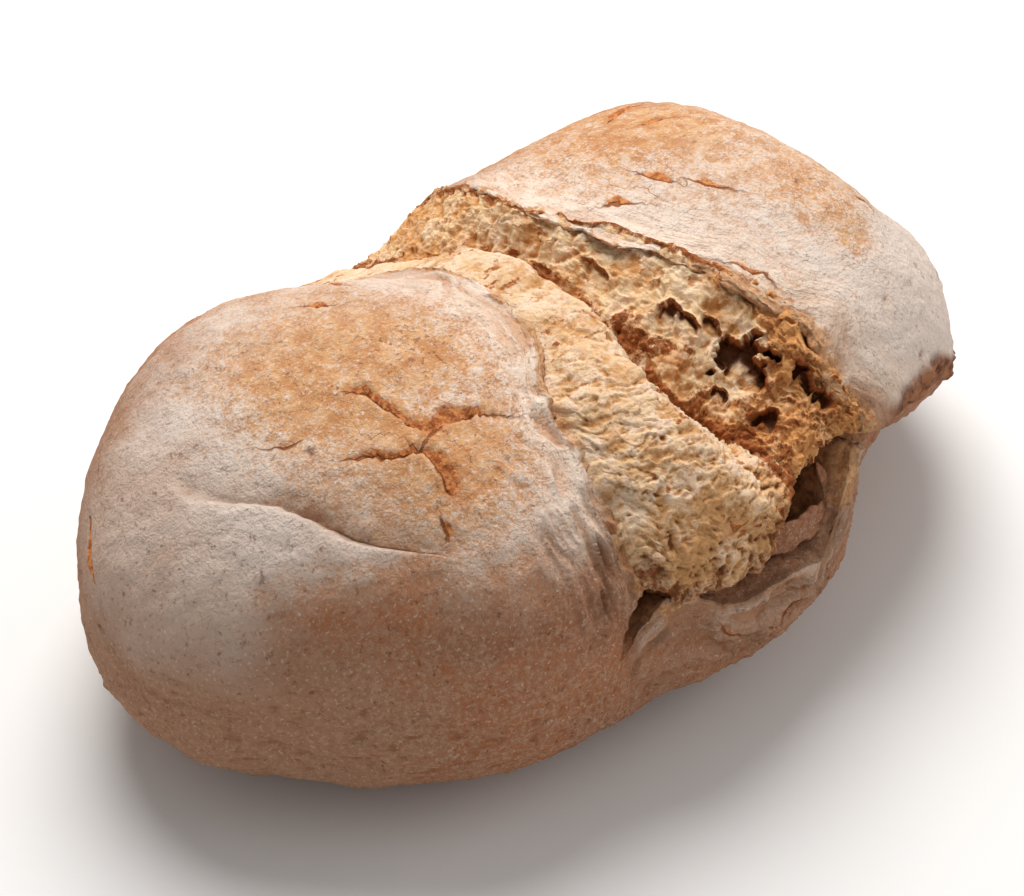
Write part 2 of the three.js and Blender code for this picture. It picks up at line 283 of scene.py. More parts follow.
def bag(name, spots, looks):
    """Makes the mesh: quads between the rows and a fan of triangles at each end. Each entry of looks
    becomes a number stored on every vertex, for the material to read."""
    rows, across, _ = spots.shape
    ends = spots[[0, -1]].mean(axis=1)
    ends[:, 2] = np.maximum(ends[:, 2], 0)
    vertices = np.concatenate([spots.reshape(-1, 3), ends]) * MM
    index = np.arange(rows * across).reshape(rows, across)
    beside = np.roll(index, -1, axis=1)
    quads = np.stack([index[:-1], index[1:], beside[1:], beside[:-1]], axis=-1).reshape(-1, 4)
    first = np.stack([np.full(across, rows * across), index[0], beside[0]], axis=-1)
    last = np.stack([np.full(across, rows * across + 1), beside[-1], index[-1]], axis=-1)
    fans = np.concatenate([first, last])
    corners = np.concatenate([quads.ravel(), fans.ravel()]).astype(np.int32)
    starts = np.concatenate([np.arange(len(quads)) * 4, len(quads) * 4 + np.arange(len(fans)) * 3])
    mesh = bpy.data.meshes.new(name)
    mesh.vertices.add(len(vertices))
    mesh.vertices.foreach_set("co", vertices.ravel())
    mesh.loops.add(len(corners))
    mesh.loops.foreach_set("vertex_index", corners)
    mesh.polygons.add(len(starts))
    mesh.polygons.foreach_set("loop_start", starts.astype(np.int32))
    mesh.update(calc_edges=True)
    mesh.validate()
    mesh.shade_smooth()
    for look, values in looks.items():
        values = np.broadcast_to(values, (rows, across))
        store = mesh.attributes.new(look, "FLOAT", "POINT")
        tips = [values[0].mean(), values[-1].mean()]
        store.data.foreach_set("value", np.concatenate([values.ravel(), tips]).astype(np.float32))
    piece = bpy.data.objects.new(name, mesh)
    bpy.context.scene.collection.objects.link(piece)
    triangles = np.concatenate([fans, quads[:, :3], quads[:, [0, 2, 3]]])
    print(f"{name}: {len(triangles)} triangles, {volume_ml(vertices, triangles):.2f} ml")
    return piece


# %% [markdown]
# ## The crust's large relief
# The crust is whole on both lobes, folds once over the near lobe, and stops at the tear. There it has
# a thickness, turns under, and runs on out of sight below the crumb. The rows of its grid follow the
# crease and both torn edges, so an edge stays crisp at any fineness.

# %% Uneven torn edges
def wavering(along, seed, reach):
    """How far a torn edge strays from its curve: three sizes of noise over the mm along the edge."""
    at = spots_at(along, 0)
    return reach * (noise(at / 9, seed) + 0.6 * noise(at / 3.5, seed + 1) + 0.4 * noise(at / 1.4, seed + 2))


def torn_line(points, seed, reach):
    """A line over the crust, as x at each angle: its curve, plus the wavering."""
    return lambda angle: through(points, angle) + wavering(angle * MM_PER_DEGREE, seed, reach)


def gap_line(points, seed, reach):
    """An edge of the gap, as the angle at each x: its curve, plus the wavering where it is deep."""
    return lambda x: through(points, x) + wavering(x, seed, reach) * step(0, 6, through(GAP_DEPTH, x))


crease_line = torn_line(CREASE_LINE, 7, 0.5)
near_edge = torn_line(CRUST_EDGE, 11, 1.1)
far_edge = torn_line(LIP, 15, 1.1)
gap_base = gap_line(GAP_BASE, 19, 0.9)
gap_top = gap_line(GAP_TOP, 23, 1.5)
at_top = np.array([90.0])
print("x of the torn edges at the top:", near_edge(at_top).round(1), far_edge(at_top).round(1))

# %% Lines of the crust, each running from end to end
LINES = (46, 32, 52, 106, 54)  # lines in each group
UNDERSIDE, SHOULDER, BACK_SIDE = -32.0, 60.0, 145.0  # degrees


def line_angle(group, t, x):
    """The angle of a line where it crosses x. Lines run in five groups, between the underside, the
    two edges of the gap, the shoulder, the back and the underside again."""
    marks = [np.full_like(x, UNDERSIDE), gap_base(x), gap_top(x), np.full_like(x, SHOULDER),
             np.full_like(x, BACK_SIDE), np.full_like(x, UNDERSIDE + 360)]
    return mix(np.choose(group, marks[:-1]), np.choose(group, marks[1:]), t)


def meets(edge):
    """Where each line meets an edge that is given as x at each angle: a line's angle changes a
    little with x, so we go back and forth between the two until they agree."""
    x = edge(nominal)
    for _ in range(8):
        x = mix(x, edge(line_angle(group, share, x)), 0.6)
    return x


group = np.repeat(np.arange(5), LINES)[None, :]
share = np.concatenate([np.arange(n) / n for n in LINES])[None, :]
nominal = line_angle(group, share, np.zeros(group.shape))
opened = np.where((group >= 2) & (nominal < 180), through(TEAR_OPEN, nominal), 0)
print("lines round the crust:", group.size)

# %% Heights of the crust over the envelope
def end_height(x, angle):
    """The near end up to the crease: its flap swells a little before the fold and drops at it, both
    as e to the power of minus the distance to the fold over a reach."""
    to_fold = crease_line(angle) - x
    swelling = 0.2 * np.exp(-to_fold / SWELL_REACH) - 0.35 * np.exp(-to_fold / DROP_REACH)
    return through(CREASE_DEPTH, angle) * swelling


def near_height(x, angle):
    """From the crease to the tear: a hollow that dies away from the fold, as e to the power of minus
    the distance over CREASE_REACH, and at the back a shoulder that rounds down into the notch."""
    past = x - crease_line(angle)
    hollow = through(CREASE_DEPTH, angle) * np.minimum(0.75 + past / 2, 1) * np.exp(-past / CREASE_REACH)
    rounding = np.minimum(through(BURST_RISE, angle), 0) * through(TEAR_OPEN, angle)
    return rounding * step(-26, 0, x - through(CRUST_EDGE, angle)) - hollow


def far_height(x, angle):
    """The far lobe, flared at its lip: the flare dies away as e to the power of minus the distance
    past the lip over FLARE_REACH."""
    past = np.maximum(x - through(LIP, angle), 0)
    return through(TEAR_OPEN, angle) * through(LIP_FLARE, angle) * np.exp(-past / FLARE_REACH)


# %% Rows of the crust, from one end to the other
END_ROWS, NEAR_ROWS, FLOOR_ROWS, FAR_ROWS = 42, 112, 62, 116


def to_edge(t):
    """Row spacing that gets closer towards an edge: 1 - (1 - t) to the power 1.3."""
    return 1 - (1 - t) ** 1.3


def from_pole(t):
    """Row spacing from a pole to an edge, close at both, so that the pole is round and the edge
    crisp: t to the power 2.3, blended by t squared into the spacing towards an edge."""
    return (1 - t * t) * t**2.3 + t * t * to_edge(t)


def crust_rows():
    """x, height and a mark for the hidden part, row by row: the end, the near lobe, the near edge
    turned under, the hidden floor of the tear, the far edge turned under, and the far lobe."""
    crease, near, far = meets(crease_line), meets(near_edge), meets(far_edge)
    near_top = near_height(near, line_angle(group, share, near))
    far_top = far_height(far, line_angle(group, share, far))
    floor = -(through(VALLEY_DEPTH, nominal) + 6)
    rows = []
    for start, stop, spread, height in (
            (0 * crease - HALF, crease, from_pole(np.arange(1, END_ROWS + 1) / END_ROWS), end_height),
            (crease, near, to_edge(np.arange(1, NEAR_ROWS + 1) / NEAR_ROWS), near_height)):
        for t in spread:
            x = mix(start, stop, t)
            rows.append((x, height(x, line_angle(group, share, x)), 0 * x))
    rows.append((near + 0.15, near_top - 0.4 * opened, opened * 0.2))
    rows.append((near + 0.2 - 2.5 * opened, near_top - 2.6 * opened, opened))
    for t in np.linspace(0.02, 0.98, FLOOR_ROWS):
        x = mix(near - 2 * opened, far + 3 * opened, t)
        edge = mix(near_top - 3.5 * opened, far_top - 3.5 * opened, t)
        sunk = min(1, 8 * t, 8 * (1 - t))
        rows.append((x, mix(edge, np.minimum(floor, edge) * opened, sunk), opened))
    rows.append((far - 0.2 + 2.2 * opened, far_top - 2.2 * opened, opened))
    rows.append((far - 0.2 + 0.1 * opened, far_top - 0.6 * opened, opened * 0.4))
    for t in 1 - from_pole(1 - np.arange(0, FAR_ROWS) / FAR_ROWS):
        x = mix(far, 0 * far + HALF, t)
        rows.append((x, far_height(x, line_angle(group, share, x)), 0 * x))
    return [np.concatenate(part) for part in zip(*rows)]


crust_x, crust_height, hidden = crust_rows()
crust_angle = line_angle(group, share, crust_x)
front_angle = np.where(crust_angle > 180, crust_angle - 360, crust_angle)
print("rows of the crust:", len(crust_x))

# %% [markdown]
# ## The gap under the burst
# Where the burst lifted off the skin below it, a dark mouth stays open. It could be cut out with a
# boolean, but the second group of lines already follows both its edges, so it is enough to sink
# the lines between them. Its roof runs up into the hidden floor of the tear.

# %% Sink the gap
gap_share = np.where(group == 1, share, np.where(group == 0, 0.0, 1.0))
gap_depth = through(GAP_DEPTH, crust_x)
gap_lumps = 4 * noise(spots_at(crust_x / 11, gap_share * 2.2), 27)
mouth = step(0, 0.13, gap_share) * (group < 2)
roof = step(0.7, 1, gap_share)
first_above = sum(LINES[:2])
above = crust_height[:, first_above:first_above + 1]
hidden_above = hidden[:, first_above:first_above + 1]
sunk_floor = (gap_lumps * step(0, 10, gap_depth) - gap_depth) * mouth
crust_height = np.where(group < 2, mix(sunk_floor, above, roof), crust_height)
hidden = np.where(group == 1, hidden_above * roof, hidden)
torn = np.clip(hidden + step(0, 4, gap_depth) * mouth * (1 - roof), 0, 1)
bare = 1 - torn
crust_base = place(crust_x, crust_angle, crust_height)
base_x, base_y, base_z = np.moveaxis(crust_base, -1, 0)
print("the gap's lowest point lies", round(-float(crust_height[:, (group == 1)[0]].min()), 1), "mm in")

# %% [markdown]
# ## Cracks
# The crust cracked where it dried: broken slopes a few millimetres wide on the near lobe, and short
# nicks elsewhere. A bump map would shade them but leave the outline smooth, so all that is wider than
# a millimetre moves the vertices, and the material adds only grain and thin lines. Each crack is a
# short path over the crust.

# %% Cracks in the crust: points of x, angle and the width in mm of the broken slope, and a depth in mm
CRACKS = [
    ([(-61, 88.5, 0.4), (-57, 87, 1.2), (-56, 81, 1.1), (-55, 76, 1.5), (-51, 73, 2.6), (-46, 73.5, 3.4),
      (-41, 72, 1.6), (-38, 70.5, 0.6), (-30, 67, 0.4), (-26, 64, 0.3)], 2.2),
    ([(-74, 77, 0.3), (-72, 76, 0.8), (-66, 73.5, 1.0), (-60.5, 71.3, 1.3), (-57.9, 69.5, 2.6),
      (-58.3, 65.2, 3.3), (-58.9, 60.6, 2.2), (-59.2, 58.8, 0.4)], 2.0),
    ([(-51, 73, 1.0), (-54, 72.5, 0.6), (-58, 70.5, 0.8)], 1.0),
    ([(-64.5, 56, 0.4), (-65.3, 54, 1.3), (-66.3, 51.5, 1.2), (-66.8, 50, 0.4)], 0.9),
    ([(-84, 89, 0.4), (-80, 86, 0.8), (-76, 85, 0.3)], 0.8),
    ([(-93, 66, 0.2), (-94.2, 64.3, 0.45), (-95.2, 62.6, 0.2)], 0.3),
    ([(-100.3, 63, 0.2), (-101.5, 60, 0.5), (-102.3, 57, 0.45), (-103, 55, 0.2)], 0.35),
    ([(-104, 47, 0.2), (-105, 44.5, 0.5), (-105.5, 43, 0.2)], 0.3),
    ([(4, -4, 0.3), (9, -6, 1.1), (14, -4, 1.3), (21, -6, 0.4)], 1.0),
    ([(-9, 1, 0.4), (-4, -2, 1.0), (0, -5, 0.3)], 0.7),
    ([(20, -12, 0.3), (30, -9, 0.9), (38, -2, 0.4)], 0.9),
    ([(-38, 123, 0.8), (-34, 117, 2.4), (-32, 113, 0.6)], 1.3),
    ([(-47, 111, 0.5), (-44, 108, 1.8), (-42, 107, 0.5)], 1.2),
    ([(62, 122, 0.5), (68, 125, 2.4), (74, 127, 1.6), (78, 128, 0.5)], 1.0),
    ([(63, 111, 0.5), (67, 110.5, 1.9), (71, 110, 0.6)], 1.1),
    ([(47, 98, 0.6), (49, 95, 2.2), (50, 92, 0.5)], 0.8),
    ([(53, 92, 0.4), (55, 89, 1.2), (59, 85, 0.5), (64, 82, 0.3)], 0.5),
    ([(31, 95, 0.5), (35, 94, 1.6), (38, 92, 0.5)], 0.7),
    ([(40, 73, 0.4), (43, 69, 1.3), (46.5, 62, 0.4)], 0.7),
    ([(90, 74, 0.3), (93, 70, 1.2), (94, 67, 0.3)], 0.8),
    ([(-121, 128, 0.8), (-118, 132, 2.6), (-116, 136, 3.0), (-113, 141, 0.6)], 1.0),
]
SLOPE_WIDTH = 1.35  # the broken slope's full width, as a multiple of the width in the list
print("cracks:", len(CRACKS))

# %% Distance to a crack, and its relief
CRACK_WAVER = 0.8 * noise(crust_base / 4.5, 31) + 0.55 * noise(crust_base / 1.6, 33)
CRACK_CHIPS = 0.5 * noise(crust_base / 1.3, 35)


def beside_path(path):
    """Distance in mm over the crust from each point to a path, and the path's width there. The
    distance is positive on the path's left and negative on its right, so that it runs straight
    through zero at the crack itself. Noise makes the path waver."""
    away, width = np.full(crust_x.shape, 1e3), np.ones(crust_x.shape)
    for (x0, a0, w0), (x1, a1, w1) in zip(path[:-1], path[1:]):
        dx, da = x1 - x0, (a1 - a0) * MM_PER_DEGREE
        px, pa = crust_x - x0 + CRACK_WAVER, (crust_angle - a0) * MM_PER_DEGREE + CRACK_WAVER
        t = np.clip((px * dx + pa * da) / (dx * dx + da * da), 0, 1)
        gap = np.hypot(px - t * dx, pa - t * da)
        side = np.where(dx * pa - da * px > 0, 1, -1)
        closer = gap < np.abs(away)
        away = np.where(closer, gap * side, away)
        width = np.where(closer, mix(w0, w1, t), width)
    return away, width


def crack_relief(away, width, depth):
    """How far a crack lowers the crust: a chipped slope that climbs straight out on its left, a steep
    wall shaped like half a bell on its right, and a small swelling beside both. Thin stretches of a
    crack are shallower."""
    slope = np.clip(1 - away / (np.maximum(SLOPE_WIDTH * width, 0.9) * (1 + CRACK_CHIPS)), 0, 1) * (away >= 0)
    wall = bell(away, 0.5) * (away < 0)
    swollen = bell(away + 1.8, 1.5) + bell(away - width - 1.2, 1.5)
    lasting = np.minimum(1, width / 1.3)
    return 0.85 * depth * lasting * np.maximum(slope, wall) - 0.2 * depth * lasting * swollen


crack_depth = np.zeros(crust_x.shape)
crack_away, crack_width = np.full(crust_x.shape, 9.0), np.ones(crust_x.shape)
for path, depth in CRACKS:
    away, width = beside_path(path)
    crack_depth += crack_relief(away, width, depth)
    closer = np.abs(away) < np.abs(crack_away)
    crack_away = np.where(closer, away, crack_away)
    crack_width = np.where(closer, SLOPE_WIDTH * width, crack_width)
print("deepest crack:", crack_depth.max().round(2), "mm")

# %% [markdown]
# ## Wrinkles, dents and blisters
# Beside the tear the skin was stretched into fine wrinkles that run along the edge, and the skin below
# the gap sagged into folds. Elsewhere it has soft dents from shaping, small blisters and pricks.
# Wrinkles are crests of a noise that is drawn out along the edge, so they start and end by themselves.

# %% How far each spot is from the torn edges
past_near = through(CRUST_EDGE, crust_angle) - crust_x
past_far = crust_x - through(LIP, crust_angle)
below_gap = (gap_base(crust_x) - front_angle) * MM_PER_DEGREE
arc = crust_angle * MM_PER_DEGREE
front_top = step(5, 25, crust_angle) * (1 - step(120, 150, crust_angle))
beside_near = beyond(past_near, 14) * front_top
beside_far = beyond(past_far, 16) * front_top
beside_gap = beyond(below_gap, 18) * step(0, 5, gap_depth)
print("share of the crust beside the tear:", (beside_near + beside_far > 0.2).mean().round(3))

# %% Stretch wrinkles and folds
warp = 3 * noise(crust_base / 11, 41)


def pulled_ridges(from_edge, width, along, length, slice_at, seed):
    """Ridges along a torn edge: crests of a noise that changes over width mm away from the edge and
    over length mm along it."""
    return crests(spots_at((from_edge + warp) / width, along / length, slice_at), 1, seed)


near_ridges = pulled_ridges(past_near, 2.2, arc, 13, 0, 42)
near_ridges = near_ridges * mix(0.35, 1, step(-0.3, 0.4, noise(crust_base / 7, 45)))
far_ridges = pulled_ridges(past_far, 2.3, arc, 7, 5, 43)
gap_ridges = pulled_ridges(below_gap, 2.2, crust_x, 15, 9, 44)
near_wrinkles = near_ridges * beside_near * mix(0.8, 2.6, 1 - step(60, 84, crust_angle))
far_wrinkles = far_ridges * 0.6 * beside_far
gap_wrinkles = gap_ridges * 2.3 * beside_gap * mix(0.5, 1, step(-0.4, 0.3, noise(crust_base / 9, 46)))
# the troughs between the wrinkles, where the material paints shade
grooves = np.maximum.reduce([
    step(0.5, -0.4, near_ridges) * beside_near,
    0.6 * step(0.5, -0.4, far_ridges) * beside_far,
    step(0.5, -0.4, gap_ridges) * beside_gap])
print("stretch wrinkles up to", near_wrinkles.max().round(2), "mm")
print("folds below the gap up to", gap_wrinkles.max().round(2), "mm")

# %% Dents, blisters and pricks
PIMPLE_SPACING = 7.5  # mm between the centres that may become a prick or a blister
shaping = 0.6 * np.sin(base_x / 17 + 1.4 * np.sin(base_y / 29)) * np.cos(base_y / 21 + base_z / 33)
dents = (0.6 * layers(crust_base / 15, 4, 51)
         + 0.5 * layers(crust_base / 7, 3, 57) * (1 - step(30, 60, base_z)))
grain = 0.22 * layers(crust_base / 2.8, 3, 55)
near, _, kind = cells(crust_base / PIMPLE_SPACING, 61)
pricks = np.where(kind > 0.84, bell(near * PIMPLE_SPACING, 0.8), 0)
blisters = np.where(kind < 0.2, bell(near * PIMPLE_SPACING, 1.3), 0)
print("dents, in mm:", dents.min().round(1), "to", dents.max().round(1))

# %% [markdown]
# ## Frayed edges and the rough skin under the far lobe
# The skin doesn't end in a clean line at the tear: a strip beside it is broken up, widest at the
# front. Under the overhanging far lobe, and low down on the loaf, it is coarse as well. All three are
# crests of noise, kept to their own zone by a number from 0 to 1.

# %% Broken skin
on_far = past_far > 0
fraying = 1 - step(66, 92, crust_angle)
frayed_reach = np.where(on_far, mix(1.8, 6.5, fraying), mix(1.0, 3.2, fraying)) * front_top
straying = 1.2 * noise(crust_base / 2.6, 87) + 0.9 * noise(crust_base / 1.1, 88)
from_tear = np.where(past_near > 0, past_near, np.maximum(past_far, 0)) + np.where(on_far, 2, 1) * straying
frayed = np.clip(1 - from_tear / np.maximum(frayed_reach, 0.1), 0, 1) * (front_top > 0.1)
above_gap = front_angle - gap_top(crust_x)
below_lobe = (1 - step(0, 5, above_gap)) * (front_angle < 60)
under_lobe = step(52, 64, crust_x) * below_lobe * step(-14, -4, above_gap)
low_down = 1 - step(30, 62, base_z)
low_crests = crests(crust_base / 3.4, 3, 58)
broken_skin = (0.6 * np.minimum(frayed * 1.5, 1) * (crests(crust_base / 2.4, 3, 89) - 0.5)
               + 1.0 * under_lobe * (crests(crust_base / 4.2, 4, 93) - 0.6)
               + 0.4 * low_down * (low_crests - 0.7))
print("share of the skin that is frayed:", (frayed > 0.5).mean().round(3))

# %% The crust's vertices
torn_rough = 1.6 * layers(crust_base / 5, 4, 71)
out = (shaping + dents + grain + broken_skin + near_wrinkles + far_wrinkles + gap_wrinkles - crack_depth
       - 0.6 * pricks + 0.28 * blisters) * bare + torn_rough * (1 - bare) * (1 - hidden)
calm = step(0, 12, base_z)
fine_relief = grain + 0.4 * low_down * low_crests
# where the fine relief dips: the material paints shade into these small hollows
crust_hollow = (smoothed(fine_relief, 2) - fine_relief) * bare * step(8, 24, base_z)
crust_spots = settle(crust_base + grid_normals(crust_base) * (out * calm)[..., None])
print("relief of the crust, in mm:", out.min().round(1), "to", out.max().round(1))

# %% [markdown]
# ## Where the crust is toasted, dark or floured
# The tops of both lobes browned, the low sides are a dull brown, darkened further as painted shade,
# and flour clings beside the tear and at the ends. These zones could be painted by hand. Instead
# each is a number on every vertex, built from patches, from distances to the torn edges and from
# wide noise, and the material reads it.

# %% Toasted patches: (x, angle), reach in mm and strength
TOASTED = [((-42, 88), 30, 1), ((-54, 62), 20, 0.8), ((-33, 12), 9, 0.6), ((-72, 98), 22, 0.5),
           ((62, 112), 36, 0.75), ((82, 76), 17, 0.6), ((76, 60), 11, 0.75), ((45, 150), 40, 0.5),
           ((-40, 150), 30, 0.5)]


def patch(x, angle, reach):
    """1 at a place on the crust, falling off like a bell with the given reach in mm."""
    return bell(np.hypot(crust_x - x, (crust_angle - angle) * MM_PER_DEGREE), reach)


blotch = layers(crust_base / 16, 4, 81)
wide_blotch = layers(crust_base / 34, 3, 86)
toast = sum(strength * patch(*at, reach) for at, reach, strength in TOASTED)
toast = np.clip(toast * (1 + 0.5 * blotch) + 0.2 * wide_blotch, 0, 1)
print("mean toast:", toast.mean().round(3))

# %% The crease, as a crack of its own where it is folded
past_crease = crust_x - crease_line(crust_angle)
folded = step(1.0, 2.6, through(CREASE_DEPTH, crust_angle))
in_crease = np.maximum(beyond(past_crease, 5), beyond(-past_crease, 0.6)) * folded
closer = (folded > 0.3) & (np.abs(past_crease) < np.abs(crack_away))
fold_line = np.clip(0.2 + 0.6 * noise(spots_at(arc / 7, 0), 77), 0, 0.5)
crack_away = np.where(closer, 1.4 * past_crease, crack_away)
crack_width = np.where(closer, fold_line, crack_width)
print("share of the crust in the crease:", (in_crease > 0.5).mean().round(4))

# %% Low sides: dull brown, darkened further as painted shade; paler on the far lobe's front, at the near end and below the gap
low = 1 - step(53, 94, base_z + 5 * blotch + 6 * wide_blotch)
on_lobe = step(-4, 4, above_gap) * (1 - step(80, 128, crust_angle + 16 * blotch))
low = low * (1 - 0.95 * step(42, 64, crust_x + 4 * blotch) * on_lobe)
low = low * (1 - 0.55 * step(-92, -118, crust_x) * step(24, 62, base_z + 5 * blotch))
low = low * (1 - 0.55 * beside_gap)
print("mean of the low zone:", low.mean().round(3))

# %% Flour
beside_tear = np.maximum(beside_near * mix(0.7, 1, 1 - step(85, 110, crust_angle)), beside_far)
flour = (0.5 + 0.3 * blotch * (1 - 0.6 * low) + 0.8 * beside_tear - 0.6 * toast + 0.15 * beside_gap
         # on the crests of the wrinkles
         + 0.55 * step(0.1, 0.8, gap_ridges) * beside_gap + 0.25 * step(0.1, 0.8, near_ridges) * beside_near
         # at the near end, with a bare spot, and over the far lobe's end and front
         + 0.65 * step(-70, -105, crust_x) - 0.5 * patch(-94, 46, 21)
         + 0.35 * step(92, 112, crust_x) * on_lobe
         + 0.6 * step(46, 70, crust_x) * (1 - step(54, 76, crust_angle)) * on_lobe * (1 - toast)
         + 0.8 * patch(-16, 113, 11)
         # thick on the flap before the crease, thin in the fold
         + 0.8 * np.where(past_crease < 0, np.exp(past_crease / 5), 0) * folded
         - 0.5 * np.where(past_crease > 0, np.exp(-past_crease / 6), 0) * folded)
print("mean flour:", flour.mean().round(3))

# %% The crust's mesh
near_gap = beside_gap > 0.02
crust_looks = {
    "flour": np.clip(flour, 0, 1.4),
    "toast": toast,
    "low": np.clip(low, 0, 1),
    "ruddy": np.clip(0.5 + 0.9 * layers(crust_base / 21, 4, 91), 0, 1),
    "crack_away": crack_away,
    "crack_width": crack_width * bare,
    "crease": in_crease * bare,
    "prick": pricks * bare,
    "specks": patch(-36, 89, 9) * bare,
    "under_lobe": under_lobe,
    "frayed": frayed * bare,
    # the grooves between wrinkles, where the material paints shade
    "groove": grooves * bare,
    # the small hollows, where the material paints shade
    "hollow": np.clip(0.5 + 1.2 * crust_hollow, 0, 1),
    "stretch": np.clip(beside_near + beside_far + beside_gap, 0, 1) * bare,
    "from_edge": np.where(near_gap, below_gap, np.where(crust_x < 0, past_near, past_far)) + warp,
    "along_edge": np.where(near_gap, crust_x, arc),
    "inside": torn,
}
crust = bag("crust", crust_spots, crust_looks)

# %% [markdown]
# ## The burst crumb
# Steam pushed the crumb up between the two halves of the crust. On the near side it is a mound of torn
# sheets and strands, pulled along the loaf as it opened. Hair or particles could give strands, but
# they don't export; ridges of noise stretched along the pull give the same look in one solid skin.

# %% A slab of crumb between two lines over the loaf
SLAB_ROWS, SLAB_COLUMNS, UNDER_ROWS, BACK_COLUMNS = 520, 150, 34, 9
ROLL_FROM, ROLL_TO = 3, -2.5  # degrees above the gap's edge
ROLL_DEPTH = 15
BACK_ANGLE, FRONT_ANGLE = 177, 17.0
TUCKED = -0.12  # a slab starts this share of its width below the edge beside it


def slab(start, stop, last_share, height):
    """A closed slab: its top runs from the line start to the line stop at the given height, its
    underside returns out of sight, and its lower end rolls under into the gap as a quarter oval.
    Gives x, angle, height, the share across, and 1 on the top."""
    down = np.linspace(0, 1, SLAB_ROWS)[:, None]
    t = np.linspace(TUCKED, last_share, SLAB_COLUMNS)[None, :]
    guess = mix(BACK_ANGLE, FRONT_ANGLE, down)
    x = mix(start(guess), stop(guess), t)
    lowest = gap_top(x)
    angle = mix(BACK_ANGLE, lowest + ROLL_FROM, down)
    roll = np.linspace(0, np.pi / 2, UNDER_ROWS + 1)[1:, None]
    x_under = np.repeat(x[-1:], UNDER_ROWS, axis=0)
    angle_under = lowest[-1:] + mix(ROLL_FROM, ROLL_TO, np.sin(roll))
    top_x, top_angle = np.concatenate([x, x_under]), np.concatenate([angle, angle_under])
    sunk = np.concatenate([0 * down, ROLL_DEPTH * (1 - np.cos(roll))])
    top_t = np.broadcast_to(t, top_x.shape)
    top_height = height(top_t, top_angle) - sunk
    across = np.linspace(0, 1, BACK_COLUMNS)[None, 1:-1]
    back_t = np.linspace(last_share, TUCKED, BACK_COLUMNS)[None, 1:-1]
    back_x = mix(top_x[:, -1:], top_x[:, :1], across)
    back_angle = mix(top_angle[:, -1:], top_angle[:, :1], across)
    back_height = -(through(VALLEY_DEPTH, back_angle) + 9) * (1 - 0.5 * step(150, 170, back_angle))
    back_height = np.minimum(back_height, top_height.min(axis=1, keepdims=True) - 2)
    pairs = ((top_x, back_x), (top_angle, back_angle), (top_height, back_height),
             (top_t, np.broadcast_to(back_t, back_x.shape)), (np.ones_like(top_x), np.zeros_like(back_x)))
    return [np.concatenate(pair, axis=1) for pair in pairs]


# %% The mound's shape
def mound_height(t, angle):
    """A mound that starts just below the near crust's edge, rises as the sine of its share across,
    and falls away into the valley."""
    opened = through(TEAR_OPEN, angle)
    rise = through(BURST_RISE, angle)
    mound = np.where(rise > 0, rise * np.sin(np.pi * np.clip(t, 0, 1) ** 0.75), rise)
    fall = step(0.6, 1, t) ** 1.4
    height = opened * mix(mound, -through(VALLEY_DEPTH, angle) - 3 * step(30, 45, angle), fall)
    return height - 0.15 * (1 - step(0, 0.06, t)) - 24 * np.maximum(-t, 0) - 4 * step(160, 174, angle)


mound_x, mound_angle, mound_out, mound_t, mound_shown = slab(
    near_edge, lambda angle: through(VALLEY, angle), 1, mound_height)
mound_base = place(mound_x, mound_angle, mound_out)
mound_arc = mound_angle * MM_PER_DEGREE
print("mound grid:", mound_base.shape)

# %% Strands, bubbles and flakes of torn crumb
def shaken(spot, size, reach, seed):
    """The points moved about by a noise of the given size, so that patterns made from them lose
    their regular outlines."""
    return spot + reach * np.stack([noise(spot / size, seed + i) for i in range(3)], axis=-1)


def strands(spot, x, arc, seed, width, length, curl=3.2):
    """Torn strands: ridges, one minus twice the size of a noise that is stretched along the pull. A
    slower noise moves the points by curl mm, which makes the strands curl."""
    bend_x, bend_arc = curl * noise(spot / 5.5, seed), curl * noise(spot / 5.5, seed + 1)
    at = spots_at((x + bend_x) / length, (arc + bend_arc) / width, spot[..., 2] / (4 * width))
    return crests(at, 1, seed + 2)


def torn_bubbles(spot, size, seed, share):
    """Bubbles of the given size: a bowl round each cell centre, in a share of the cells, and a thin
    wall where two cells meet, which noise tears away in places. Both run from 0 to 1."""
    near, second, kind = cells(spot / size, seed)
    bowl = np.clip(1 - (near / 0.6) ** 2, 0, 1) * (kind < share)
    wall = np.clip(1 - (second - near) / (0.7 / size), 0, 1) ** 1.4
    return bowl, wall * step(-0.2, 0.5, noise(spot / (1.4 * size), seed + 9))


def flakes(spot, arc, period, seed):
    """Torn layers that overlap like scales. Down the front each one swells out slowly and drops back
    all at once: one minus the fraction of the arc over the period, bent by two sizes of noise and
    ended by a third. Gives the height and the edges."""
    bend = 1.6 * noise(spot / (2.6 * period), seed) + 0.8 * noise(spot / (1.1 * period), seed + 1)
    turn = arc / period + bend
    rise = 1 - (turn - np.floor(turn))
    strength = step(-0.1, 0.5, noise(spot / (1.8 * period), seed + 2))
    return rise**1.6 * strength, bell(1 - rise, 0.2) * strength


# %% The mound's relief: calm and smooth at the back, busy with strands and flakes at the front
mound_bent = shaken(mound_base, 2.1, 0.8, 95)
wide_flakes, wide_edges = flakes(mound_bent, mound_arc + 0.5 * mound_x, 4.6, 101)
thin_flakes, _ = flakes(mound_bent, mound_arc - 0.4 * mound_x, 2.1, 105)
folds = strands(mound_base, mound_x, mound_arc, 103, 4.5, 9, 5.0)
coarse = strands(mound_bent, mound_x, mound_arc, 109, 1.9, 4)
fibres = strands(mound_bent, mound_x, mound_arc, 113, 1.0, 2)
curls = crests(mound_bent / 1.9, 3, 117)
lumps = layers(mound_base / 9, 3, 121)
shreds = crests(mound_bent / 3.0, 3, 131)
waving = 12 * noise(mound_base / 14, 123)
busy = mix(0.32, 1, 1 - step(40, 92, mound_angle + waving))
torn_low = 1 - step(12, 42, mound_angle + 0.7 * waving)
torn_right = step(0.5, 0.9, mound_t) * (1 - step(66, 84, mound_angle))
from_crust = step(-0.05, 0.1, mound_t)
